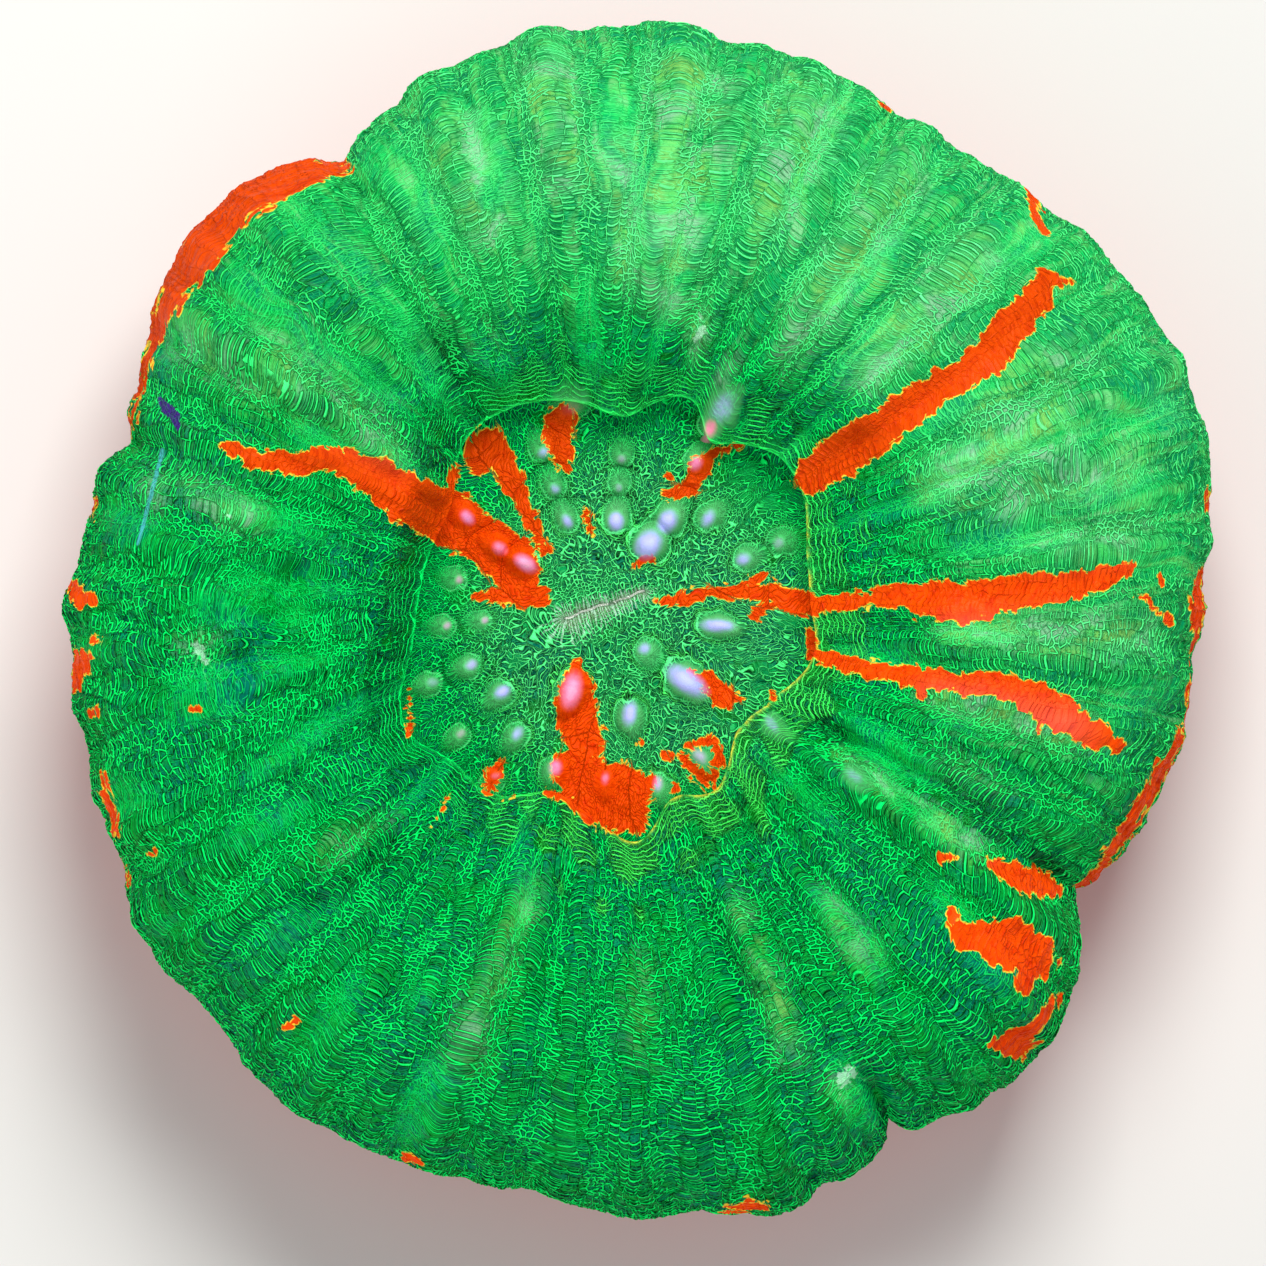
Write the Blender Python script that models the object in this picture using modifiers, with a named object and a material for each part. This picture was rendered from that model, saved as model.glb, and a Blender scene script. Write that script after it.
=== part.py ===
"""A scolymia coral: one fleshy polyp grown over its own stony foot, cut off flat below.

The body starts as a turned blank, a profile spun by a Screw modifier. Every vertex of the
blank is then moved to its place on the grown form: the lobed outline, the scalloped lip
around the sunken oral disc, the radial ridges and folds of the flesh, the tooth bumps and
the mouth on the disc, and the ribs of the foot. Lengths are in millimetres and angles in
degrees, counted from +X towards +Y, until the finished points are scaled to metres.
"""

import math

import bpy
import numpy as np

MM = 0.001
NAME = "scolymia_coral"

# Overall form: heights above the cut, and radii.
CREST_Z = 29.5
RIM_Z = 16.5
LIP_Z = 22.0
DISC_Z = 19.2
SKIRT_Z = 7.6
FOOT_TOP_Z = 6.6
SKIRT_RATIO = 0.76
FOOT_TOP_RATIO = 0.645
FOOT_BASE_RATIO = 0.575
DISC_CENTRE = (-1.8, 0.6)
LIP_OVERHANG = 0.7

# Where the crest lies between lip and rim, and how square the shoulder outside it is.
CREST_SHARE = 0.47
SHOULDER_POWER = 2.3

# Outline of the widest part, as (angle, radius).
OUTLINE = (
    (0, 41.3), (10, 42.6), (20, 43.9), (36, 43.9), (48, 42.8), (64, 42.0), (78, 43.4),
    (90, 43.9), (101, 44.0), (112, 42.9), (119, 41.5), (124, 41.2), (130, 43.4), (136, 44.1),
    (147, 42.6), (160, 40.2), (168, 41.5), (184, 42.2), (202, 42.0), (214, 43.9), (221, 42.9),
    (234, 44.0), (255, 42.8), (274, 44.0), (284, 44.7), (295, 42.3), (311, 43.2), (319, 41.8),
    (327, 38.4), (335, 39.6), (347, 40.7),
)
# The lip around the oral disc, measured from the disc's own centre.
LIP = (
    (4, 14.3), (16, 14.6), (34, 16.4), (45, 16.6), (53, 15.6), (62, 14.5), (69, 16.5),
    (89, 14.5), (101, 15.9), (118, 17.0), (131, 16.9), (145, 14.7), (164, 14.4), (188, 15.1),
    (210, 17.6), (222, 16.2), (235, 16.2), (251, 13.9), (263, 15.0), (276, 16.8), (286, 14.3),
    (299, 14.9), (316, 12.4), (331, 13.1), (348, 14.9),
)
# How far the inner wall rises steeply just outside the lip.
WALL_HEIGHT = (
    (0, 0.8), (60, 1.0), (105, 1.6), (130, 3.6), (160, 5.2), (190, 5.0), (212, 3.2),
    (240, 1.2), (300, 0.9), (326, 2.2), (345, 0.8),
)
WALL_WIDTH = 3.8

# Radial ridges of the flesh, as (angle, height). Lower ones fill the gaps between them.
MAIN_RIDGES = (
    (8, 0.5), (25, 0.8), (40, 0.6), (47.5, 0.7), (60, 0.8), (72, 0.7), (85.5, 1.0),
    (99.5, 0.8), (111.5, 0.8), (119, 0.5), (133, 0.6), (146, 0.9), (158, 0.5), (165, 0.7),
    (177, 0.4), (190, 0.4), (203, 0.5), (217, 0.9), (235, 0.7), (248.5, 1.1), (262, 0.5),
    (270, 0.8), (284, 0.7), (290.5, 0.9), (304, 0.8), (315, 0.6), (323.5, 1.2), (334, 0.6),
    (347, 0.6),
)
FILLER_HEIGHT = 0.38
RIDGE_PITCH = 6.6
RIDGE_ROUNDNESS = 0.75
RIDGE_GAIN = 0.95
RIDGE_SINK = 0.35
RIM_CALM = 0.5

# Folds, each a line in plan through (x, y), with its depth and half width.
FOLDS = (
    (((-22.8, 35.2), (-21.0, 31.8)), 0.7, 1.1),
    (((-21.0, 31.8), (-17.2, 25.0), (-14.9, 20.4)), 0.6, 1.8),
    (((-14.6, 19.6), (-12.6, 14.4)), 1.5, 1.9),
    (((33.6, -20.9), (30.2, -18.4)), 0.9, 1.1),
    (((30.2, -18.4), (20.8, -11.9), (14.4, -8.4)), 1.1, 1.3),
    (((14.4, -8.4), (10.4, -6.4)), 1.6, 1.3),
    (((19.0, -38.2), (18.0, -36.0), (17.0, -33.8)), 1.4, 1.1),
    (((-39.2, 13.6), (-35.0, 13.0), (-30.8, 12.6)), 0.5, 1.2),
    (((-7.0, 33.0), (-6.2, 26.0), (-5.4, 18.6)), 0.7, 1.0),
    (((4.6, 36.0), (4.0, 28.0), (3.6, 20.0)), 0.5, 0.9),
    (((-18.4, -16.2), (-21.0, -18.6), (-24.2, -21.0)), 1.1, 1.2),
    (((-5.6, -19.0), (-6.6, -24.4), (-7.6, -30.0)), 1.1, 1.3),
    (((2.6, -17.4), (5.8, -23.0), (8.6, -28.0)), 0.9, 1.3),
    (((-25.6, 3.9), (-27.2, 0.4), (-29.6, -2.6)), 1.0, 0.9),
    (((5.6, -37.0), (5.0, -43.0)), 0.6, 1.0),
)
# Swellings, as ((x, y), spread, height); a negative height is a hollow.
SWELLINGS = (
    ((-25.4, 22.6), 8.5, 2.4),
    ((-33.0, 1.0), 6.5, 0.8),
    ((-41.6, 0.6), 2.0, 0.5),
    ((5.6, 27.0), 8.0, 0.8),
    ((28.0, 12.0), 9.0, 0.7),
    ((17.0, -11.6), 4.5, 1.6),
    ((26.0, -25.6), 6.0, 1.2),
    ((-10.2, -27.6), 6.0, 0.8),
    ((-16.6, -20.4), 4.0, -0.9),
    ((9.0, -20.0), 5.0, -0.8),
)

# Tooth bumps on the disc: (x, y, half length, half width, height, turn).
TEETH = (
    (-7.2, 12.5, 0.9, 0.8, 0.8, 0), (-1.6, 9.9, 0.9, 0.8, 0.8, 90), (-1.8, 7.3, 1.1, 0.9, 1.3, 90),
    (-5.9, 8.4, 2.0, 1.0, 1.2, 118), (4.1, 11.8, 1.4, 1.0, 1.1, 60), (1.3, 6.6, 2.4, 1.2, 1.9, 48),
    (5.0, 7.7, 1.1, 0.9, 1.1, 60), (7.6, 4.6, 1.1, 0.9, 0.9, 30), (10.3, 5.9, 1.0, 0.8, 0.8, 30),
    (5.7, -0.3, 1.7, 0.9, 1.3, 0), (0.0, -2.0, 1.0, 0.8, 0.8, 0), (4.2, -4.6, 2.8, 1.4, 2.2, -38),
    (-5.1, -5.3, 2.1, 1.4, 1.9, 62), (-0.8, -6.9, 1.8, 1.1, 1.5, 80), (-10.2, -5.3, 1.4, 0.9, 1.2, 40),
    (-12.4, -3.2, 1.1, 0.8, 0.9, 30), (-15.0, -4.4, 1.0, 0.8, 0.8, 30), (-13.9, -0.3, 1.0, 0.8, 0.8, 0),
    (-11.4, 0.1, 0.9, 0.7, 0.7, 0), (-13.3, 3.1, 1.0, 0.8, 0.7, 0), (-12.8, 7.8, 1.3, 0.9, 0.9, -40),
    (-9.4, 4.4, 2.3, 1.3, 1.6, -38), (-13.6, -8.3, 1.3, 0.9, 1.0, 40), (-9.3, -8.6, 1.3, 0.9, 1.0, 50),
    (-6.3, -10.7, 1.4, 1.1, 1.2, 70), (-10.7, -11.2, 1.1, 0.9, 0.9, 50), (-2.6, -11.6, 1.3, 1.1, 1.0, 80),
    (1.2, -12.0, 1.2, 0.9, 1.0, 90), (4.4, -10.2, 1.5, 1.0, 1.1, -60), (5.3, 14.4, 1.3, 1.0, 1.3, 70),
)
MOUTH_CENTRE = (-3.0, 0.9)
MOUTH_HALF = 3.4
MOUTH_TURN = 12.5
MOUTH_DEPTH = 1.0
MOUTH_WIDTH = 0.75

# How finely the blank is divided, and what is kept of it.
COLUMNS = 288
DISC_ROWS = 26
WALL_ROWS = 4
RING_ROWS = 34
UNDER_ROWS = 12
FOOT_ROWS = 6
TRIANGLES_KEPT = 9400


def loop_curve(points, angle):
    """The smooth closed curve through (angle, value) points, read at the given angles."""
    knots = np.array([p[0] for p in points], float)
    values = np.array([p[1] for p in points], float)
    knots = np.concatenate([knots[-2:] - 360, knots, knots[:3] + 360])
    values = np.concatenate([values[-2:], values, values[:3]])
    slopes = np.gradient(values, knots)
    angle = np.mod(angle, 360)
    i = np.clip(np.searchsorted(knots, angle, side="right") - 1, 0, len(knots) - 2)
    step = knots[i + 1] - knots[i]
    t = (angle - knots[i]) / step
    return (
        values[i] * (1 + 2 * t) * (1 - t) ** 2
        + values[i + 1] * t * t * (3 - 2 * t)
        + slopes[i] * step * t * (1 - t) ** 2
        - slopes[i + 1] * step * t * t * (1 - t)
    )


def smooth_step(low, high, value):
    t = np.clip((value - low) / (high - low), 0, 1)
    return t * t * (3 - 2 * t)


def all_ridges():
    """Each ridge's angle and height, once round: the main ones with lower ones between."""
    ridges = []
    closed = MAIN_RIDGES + ((MAIN_RIDGES[0][0] + 360, MAIN_RIDGES[0][1]),)
    for (start, height), (end, _) in zip(closed, closed[1:], strict=False):
        parts = max(1, round((end - start) / RIDGE_PITCH))
        ridges.append((start, height))
        for k in range(1, parts):
            ridges.append((start + (end - start) * k / parts, FILLER_HEIGHT))
    return ridges


def ridge_height(angle):
    """Height of the rounded ridges above the creases between them."""
    ridges = all_ridges()
    crests = np.array([r[0] for r in ridges])
    heights = np.array([r[1] for r in ridges])
    crests = np.concatenate([[crests[-1] - 360], crests, [crests[0] + 360, crests[1] + 360]])
    heights = np.concatenate([[heights[-1]], heights, heights[:2]])
    angle = np.mod(angle - ridges[0][0], 360) + ridges[0][0]
    place = np.interp(angle, crests, np.arange(len(crests)))
    near = np.rint(place).astype(int)
    across = np.clip(1 - 2 * np.abs(place - near), 0, 1)
    return heights[near] * RIDGE_GAIN * np.sin(across * math.pi / 2) ** RIDGE_ROUNDNESS


def distance_to_line(x, y, line):
    """Shortest distance in plan from each (x, y) to a line through points."""
    best = np.full(np.shape(x), np.inf)
    for (x0, y0), (x1, y1) in zip(line, line[1:], strict=False):
        dx, dy = x1 - x0, y1 - y0
        t = np.clip(((x - x0) * dx + (y - y0) * dy) / (dx * dx + dy * dy), 0, 1)
        best = np.minimum(best, np.hypot(x - x0 - t * dx, y - y0 - t * dy))
    return best


def flesh_relief(x, y, angle, along):
    """How far the flesh stands out from its smooth ring, from the lip (0) to the rim (1) and under."""
    fade = smooth_step(-0.1, 0.35, along) * (1 - RIM_CALM * smooth_step(0.5, 1.0, along))
    fade = fade * (1 - 0.75 * smooth_step(1.05, 1.8, along))
    relief = (ridge_height(angle) - RIDGE_SINK) * fade
    for line, depth, width in FOLDS:
        relief -= depth * np.exp(-((distance_to_line(x, y, line) / width) ** 2))
    for (cx, cy), spread, height in SWELLINGS:
        relief += height * np.exp(-((x - cx) ** 2 + (y - cy) ** 2) / spread**2)
    return relief * (1 - smooth_step(1.6, 2.0, along))


def ring_profile(angle, along):
    """Radius share from lip (0) to rim (1), and height, of the smooth ring from lip to rim."""
    wall = loop_curve(WALL_HEIGHT, angle)
    span = loop_curve(OUTLINE, angle) - loop_curve(LIP, angle)
    inner = np.clip(along / CREST_SHARE, 0, 1)
    steep = smooth_step(0, WALL_WIDTH / span, along)
    rise = CREST_Z - LIP_Z - wall
    inside_z = LIP_Z + wall * steep + rise * np.sin(inner * math.pi / 2) ** 1.25
    turn = np.clip((along - CREST_SHARE) / (1 - CREST_SHARE), 0, 1) * math.pi / 2
    outside_share = CREST_SHARE + (1 - CREST_SHARE) * np.sin(turn) ** (2 / SHOULDER_POWER)
    outside_z = RIM_Z + (CREST_Z - RIM_Z) * np.cos(turn) ** (2 / SHOULDER_POWER)
    outside = along > CREST_SHARE
    return np.where(outside, outside_share, along), np.where(outside, outside_z, inside_z)


def disc_height(x, y):
    """Height of the oral disc with its tooth bumps and the mouth."""
    z = DISC_Z + 0.02 * ((x - MOUTH_CENTRE[0]) ** 2 + (y - MOUTH_CENTRE[1]) ** 2) ** 0.5
    for tx, ty, long_half, wide_half, height, turn in TEETH:
        c, s = math.cos(math.radians(turn)), math.sin(math.radians(turn))
        u = ((x - tx) * c + (y - ty) * s) / long_half
        v = ((y - ty) * c - (x - tx) * s) / wide_half
        z = z + height * np.exp(-((u * u + v * v) ** 1.2) * 0.9)
    c, s = math.cos(math.radians(MOUTH_TURN)), math.sin(math.radians(MOUTH_TURN))
    mx, my = x - MOUTH_CENTRE[0], y - MOUTH_CENTRE[1]
    u = (mx * c + my * s) / MOUTH_HALF
    v = (my * c - mx * s) / MOUTH_WIDTH
    cone = 0.8 * np.exp(-((mx * mx + my * my) / 20))
    return z + cone - MOUTH_DEPTH * np.exp(-(u**4) - v * v)


def profile_rows():
    """The blank's profile, top to bottom, as (region, place in the region) rows."""
    rows = [("disc", i / DISC_ROWS) for i in range(DISC_ROWS + 1)]
    rows += [("pocket", (i + 1) / WALL_ROWS) for i in range(WALL_ROWS - 1)]
    rows += [("ring", i / RING_ROWS) for i in range(RING_ROWS + 1)]
    rows += [("under", (i + 1) / UNDER_ROWS) for i in range(UNDER_ROWS)]
    rows += [("foot", i / FOOT_ROWS) for i in range(FOOT_ROWS + 1)]
    rows += [("base", 0.5), ("base", 0.0)]
    return rows


def grown_point(region, place, angle):
    """Where the grown coral's surface lies for one row of the blank, at the given angles."""
    c, s = np.cos(np.radians(angle)), np.sin(np.radians(angle))
    lip = loop_curve(LIP, angle)
    rim = loop_curve(OUTLINE, angle)
    lip_x, lip_y = DISC_CENTRE[0] + lip * c, DISC_CENTRE[1] + lip * s
    rim_x, rim_y = rim * c, rim * s
    if region == "disc":
        reach = place * (lip + LIP_OVERHANG)
        x, y = DISC_CENTRE[0] + reach * c, DISC_CENTRE[1] + reach * s
        return x, y, disc_height(x, y)
    if region == "pocket":
        out = LIP_OVERHANG * math.cos(place * math.pi / 2)
        floor = disc_height(lip_x, lip_y)
        z = floor + (LIP_Z - 0.5 - floor) * math.sin(place * math.pi / 2)
        return lip_x + out * c, lip_y + out * s, z
    if region in ("ring", "under"):
        along = np.full_like(angle, place if region == "ring" else 1 + place)
        share, z = ring_profile(angle, np.minimum(along, 1))
        x, y = lip_x + (rim_x - lip_x) * share, lip_y + (rim_y - lip_y) * share
        normal_out, normal_up = ring_normal(angle, along)
        if region == "under":
            turn = place * math.pi / 2
            shrink = SKIRT_RATIO + (1 - SKIRT_RATIO) * math.cos(turn)
            x, y = rim_x * shrink, rim_y * shrink
            z = np.full_like(angle, RIM_Z - (RIM_Z - SKIRT_Z) * math.sin(turn))
        relief = flesh_relief(x, y, angle, along)
        return x + relief * normal_out * c, y + relief * normal_out * s, z + relief * normal_up
    foot_top, foot_base = FOOT_TOP_RATIO * rim, FOOT_BASE_RATIO * rim
    if region == "foot":
        ribs = 0.45 * (ridge_height(angle) - FILLER_HEIGHT) * (1 - 0.5 * place)
        reach = foot_top + (foot_base - foot_top) * place + ribs
        return reach * c, reach * s, np.full_like(angle, FOOT_TOP_Z * (1 - place))
    reach = foot_base * place
    return reach * c, reach * s, np.zeros_like(angle)


def ring_normal(angle, along):
    """Outward and upward parts of the smooth ring's normal, from lip to rim and under it."""
    step = 0.01
    middle = np.clip(along, step, 1 - step)
    share_a, z_a = ring_profile(angle, middle - step)
    share_b, z_b = ring_profile(angle, middle + step)
    span = loop_curve(OUTLINE, angle) - loop_curve(LIP, angle)
    out, up = z_a - z_b, (share_b - share_a) * span
    size = np.hypot(out, up)
    turn = np.clip(along - 1, 0, 1) * math.pi / 2
    under = along > 1
    return np.where(under, np.cos(turn), out / size), np.where(under, -np.sin(turn), up / size)


def turned_blank(rows):
    """A plain turned body with one ring of vertices for each row, spun by a Screw modifier."""
    last = len(rows) - 1
    turn = [math.pi * i / last for i in range(last + 1)]
    points = [(math.sin(a), 0.0, math.cos(a)) for a in turn]
    points[0] = (0.0, 0.0, 1.0)
    points[-1] = (0.0, 0.0, -1.0)
    mesh = bpy.data.meshes.new(NAME)
    mesh.from_pydata(points, [(i, i + 1) for i in range(last)], [])
    blank = bpy.data.objects.new(NAME, mesh)
    screw = blank.modifiers.new("Turn", "SCREW")
    screw.angle = math.tau
    screw.steps = COLUMNS
    screw.render_steps = COLUMNS
    screw.use_merge_vertices = True
    screw.merge_threshold = 0.0001
    return blank


def grow(blank, rows):
    """Applies the turning, then moves each vertex to its place on the grown coral."""
    bpy.context.view_layer.update()
    graph = bpy.context.evaluated_depsgraph_get()
    mesh = bpy.data.meshes.new_from_object(blank.evaluated_get(graph))
    blank.modifiers.clear()
    blank.data = mesh
    points = np.empty(len(mesh.vertices) * 3)
    mesh.vertices.foreach_get("co", points)
    points = points.reshape(-1, 3)
    angle = np.degrees(np.arctan2(points[:, 1], points[:, 0]))
    turn = np.arctan2(np.hypot(points[:, 0], points[:, 1]), points[:, 2])
    row = np.rint(turn / math.pi * (len(rows) - 1)).astype(int)
    grown = np.empty_like(points)
    for i, (region, place) in enumerate(rows):
        mine = row == i
        grown[mine] = np.column_stack(grown_point(region, place, angle[mine]))
    mesh.vertices.foreach_set("co", (grown * MM).ravel())
    mesh.update()


def thin_out(coral):
    """Keeps the wanted number of triangles, most of them where the surface bends."""
    triangles = sum(len(p.vertices) - 2 for p in coral.data.polygons)
    thin = coral.modifiers.new("Thin", "DECIMATE")
    thin.ratio = TRIANGLES_KEPT / triangles
    bpy.context.view_layer.update()
    graph = bpy.context.evaluated_depsgraph_get()
    mesh = bpy.data.meshes.new_from_object(coral.evaluated_get(graph))
    coral.modifiers.clear()
    coral.data = mesh


def settle(coral):
    """Flattens the cut and centres the coral over the origin with the cut at height 0."""
    mesh = coral.data
    points = np.empty(len(mesh.vertices) * 3)
    mesh.vertices.foreach_get("co", points)
    points = points.reshape(-1, 3)
    points[points[:, 2] < 0.15 * MM, 2] = 0.0
    points[:, :2] -= (points[:, :2].max(axis=0) + points[:, :2].min(axis=0)) / 2
    mesh.vertices.foreach_set("co", points.ravel())
    mesh.update()


def flesh_material():
    """Moist green flesh."""
    material = bpy.data.materials.new("green_flesh")
    material.use_nodes = True
    shader = material.node_tree.nodes["Principled BSDF"]
    shader.inputs["Base Color"].default_value = (0.02, 0.38, 0.12, 1.0)
    shader.inputs["Roughness"].default_value = 0.45
    shader.inputs["Metallic"].default_value = 0.0
    material.diffuse_color = (0.02, 0.38, 0.12, 1.0)
    return material


def main():
    for old in list(bpy.data.objects):
        bpy.data.objects.remove(old)
    collection = bpy.data.collections.new(NAME)
    bpy.context.scene.collection.children.link(collection)
    rows = profile_rows()
    coral = turned_blank(rows)
    collection.objects.link(coral)
    grow(coral, rows)
    thin_out(coral)
    settle(coral)
    coral.data.materials.clear()
    coral.data.materials.append(flesh_material())
    coral.data.shade_smooth()
    coral.data.set_sharp_from_angle(angle=math.radians(60))


if __name__ == "__main__":
    main()
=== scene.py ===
"""The looks of a scolymia coral: its flesh lobes, oral disc, stony foot and a plain studio.

Every shape is worked out in millimetres about the coral's own axis, with angles in degrees
from +X towards +Y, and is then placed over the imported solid. The flesh is a ring of three
lobes parted in its deep folds. Its fine wrinkles are the cells of one woven net: the same
nodes raise them on the meshes and colour them in the finish.
"""

import logging
import math
from collections.abc import Mapping
from dataclasses import dataclass, field
from enum import Enum
from typing import Any

import bpy
import numpy as np
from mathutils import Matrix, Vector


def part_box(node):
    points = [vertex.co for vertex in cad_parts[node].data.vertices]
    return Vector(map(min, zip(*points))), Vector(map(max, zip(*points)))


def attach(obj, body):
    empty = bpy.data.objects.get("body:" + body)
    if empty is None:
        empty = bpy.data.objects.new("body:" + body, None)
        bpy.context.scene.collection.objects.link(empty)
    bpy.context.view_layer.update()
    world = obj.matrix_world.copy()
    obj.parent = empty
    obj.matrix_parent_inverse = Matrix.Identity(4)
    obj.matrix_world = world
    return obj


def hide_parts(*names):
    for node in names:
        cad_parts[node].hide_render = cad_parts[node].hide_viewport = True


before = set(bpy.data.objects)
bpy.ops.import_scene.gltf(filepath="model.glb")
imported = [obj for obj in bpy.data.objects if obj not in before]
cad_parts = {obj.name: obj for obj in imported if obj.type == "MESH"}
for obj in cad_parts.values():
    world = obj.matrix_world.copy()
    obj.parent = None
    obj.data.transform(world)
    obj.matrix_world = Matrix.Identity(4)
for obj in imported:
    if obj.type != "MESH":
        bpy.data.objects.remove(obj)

LOG = logging.getLogger("scolymia")
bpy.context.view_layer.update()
NODE = "scolymia_coral"
MM = 0.001

# Places along the flesh's profile run from below 0 under the lip, over 0 at the lip, 1 at the rim
# and 2 at the skirt, to the end of the tuck over the foot.
TUCK = 0.3
PROFILE_END = 2 + TUCK

Values = np.ndarray
Pair = tuple[float, float]
Points = tuple[Pair, ...]
Stroke = tuple[tuple[float, float, float], ...]  # (x, y, half width) points
Groove = tuple[Points, float, float]  # (x, y) points, depth and width
Spot = tuple[Pair, float, float]  # middle, spread and amount
Given = Mapping[str | int, Any]  # values or links of a node's inputs
Colour = tuple[float, float, float, float]


def colour(red: float, green: float, blue: float) -> Colour:
    """A display colour, in parts of 0 to 255, as the linear one that shaders take."""
    parts = [c / 255 for c in (red, green, blue)]
    return (*(c / 12.92 if c <= 0.04045 else ((c + 0.055) / 1.055) ** 2.4 for c in parts), 1.0)


def smooth_step(low: float | Values, high: float | Values, value: Values) -> Values:
    """Eases from 0 at low to 1 at high."""
    share = np.clip((value - low) / (high - low), 0, 1)
    return share * share * (3 - 2 * share)


def window(value: Values, rise: Pair, fall: Pair) -> Values:
    """Eases from 0 to 1 over the rise and back to 0 over the fall."""
    return smooth_step(*rise, value) * (1 - smooth_step(*fall, value))


def bell(distance: Values, width: float) -> Values:
    """Falls softly from 1 at no distance."""
    return np.exp(-((distance / width) ** 2))


def hill(x: Values, y: Values, middle: Pair, spread: float) -> Values:
    """A soft round hill in plan, 1 at its middle."""
    return np.exp(-((x - middle[0]) ** 2 + (y - middle[1]) ** 2) / spread**2)


def compass(angle: Values) -> tuple[Values, Values]:
    """The shares of a way out at an angle that go along X and Y."""
    return np.cos(np.radians(angle)), np.sin(np.radians(angle))


def turned(x: Values, y: Values, turn: float) -> tuple[Values, Values]:
    """Places along and across a direction, given its turn in radians."""
    c, s = math.cos(turn), math.sin(turn)
    return x * c + y * s, y * c - x * s


def loop_curve(points: Points, angle: Values) -> Values:
    """Reads the smooth closed curve through points round the coral.

    Args:
        points: The curve's (angle, value) points.
        angle: The angles to read it at.

    Returns:
        The curve's values.
    """
    knots = np.array([p[0] for p in points], float)
    values = np.array([p[1] for p in points], float)
    knots = np.concatenate([knots[-2:] - 360, knots, knots[:3] + 360])
    values = np.concatenate([values[-2:], values, values[:3]])
    slopes = np.gradient(values, knots)
    angle = np.mod(angle, 360)
    i = np.clip(np.searchsorted(knots, angle, side="right") - 1, 0, len(knots) - 2)
    step = knots[i + 1] - knots[i]
    t = (angle - knots[i]) / step
    return (
        values[i] * (1 + 2 * t) * (1 - t) ** 2
        + values[i + 1] * t * t * (3 - 2 * t)
        + slopes[i] * step * t * (1 - t) ** 2
        - slopes[i + 1] * step * t * t * (1 - t)
    )


def line_distance(x: Values, y: Values, line: Points) -> Values:
    """The shortest distance in plan to a line through points."""
    return stroke_distance(x, y, tuple((px, py, 0.0) for px, py in line))


def stroke_distance(x: Values, y: Values, stroke: Stroke) -> Values:
    """The distance in plan to the edge of a stroke whose width changes along it.

    Args:
        x, y: Places in plan.
        stroke: The stroke's (x, y, half width) points.

    Returns:
        The distances, negative inside the stroke.
    """
    best = np.full(np.shape(x), np.inf)
    if len(stroke) == 1:
        stroke = stroke * 2
    for (x0, y0, w0), (x1, y1, w1) in zip(stroke, stroke[1:], strict=False):
        dx, dy = x1 - x0, y1 - y0
        t = np.clip(((x - x0) * dx + (y - y0) * dy) / max(dx * dx + dy * dy, 1e-9), 0, 1)
        reach = np.hypot(x - x0 - t * dx, y - y0 - t * dy) - (w0 + (w1 - w0) * t)
        best = np.minimum(best, reach)
    return best


@dataclass(frozen=True)
class Ripple:
    """Smooth unevenness made of a few crossing waves, the same on every run."""

    wavelength: float
    seed: int
    waves: int = 9

    def at(self, x: Values, y: Values) -> Values:
        """Reads the unevenness.

        Args:
            x: Places along one axis.
            y: Places along the other.

        Returns:
            Values that mostly lie between -1 and 1.
        """
        dice = np.random.default_rng(self.seed)
        total = np.zeros(np.shape(x))
        for _ in range(self.waves):
            turn, phase = dice.uniform(0, math.tau, 2)
            pace = math.tau / (self.wavelength * dice.uniform(0.7, 1.6))
            total += np.sin(pace * (x * math.cos(turn) + y * math.sin(turn)) + phase)
        return total / math.sqrt(self.waves)


@dataclass(frozen=True)
class Tooth:
    """One tooth bump under the flesh, with the pale tip that shows through.

    Args:
        x: Place along X.
        y: Place along Y.
        long: Half length of the tip.
        wide: Half width of the tip.
        height: How far the bump stands up.
        turn: Direction of its length.
        glow: How white the tip is, 0 to 1.
        blush: How pink the tip is, 0 to 1.
    """

    x: float
    y: float
    long: float
    wide: float
    height: float
    turn: float
    glow: float
    blush: float = 0.0

    def reach(self, x: Values, y: Values, spread: float) -> Values:
        """How far out from the tip, 1 on its ellipse made wider all round by the spread."""
        u, v = turned(x - self.x, y - self.y, math.radians(self.turn))
        return np.hypot(u / (self.long + spread), v / (self.wide + spread))

    def dome(self, x: Values, y: Values, mouth: Pair) -> tuple[Values, Values, float]:
        """Where a place lies about the smooth swelling behind the tip.

        Args:
            x, y: Places in plan.
            mouth: The middle of the mouth, which the tip points at.

        Returns:
            How far out it lies, 1 at the swelling's foot, its turn, and the swelling's girth.
        """
        away = math.atan2(self.y - mouth[1], self.x - mouth[0])
        skew = math.radians(self.turn) - away
        front = math.hypot(self.long * math.cos(skew), self.wide * math.sin(skew))
        side = math.hypot(self.long * math.sin(skew), self.wide * math.cos(skew))
        long, wide = 0.8 + 0.6 * front + 0.3 * side, 0.42 + 1.1 * side
        u, v = turned(x - self.x, y - self.y, away)
        u = (u - long + front + 0.12) / long
        v = v / (wide * (1 - 0.22 * np.clip(u, -1, 1.5)))
        return np.hypot(u, v), np.arctan2(v, u), (long + wide) / 2


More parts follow.
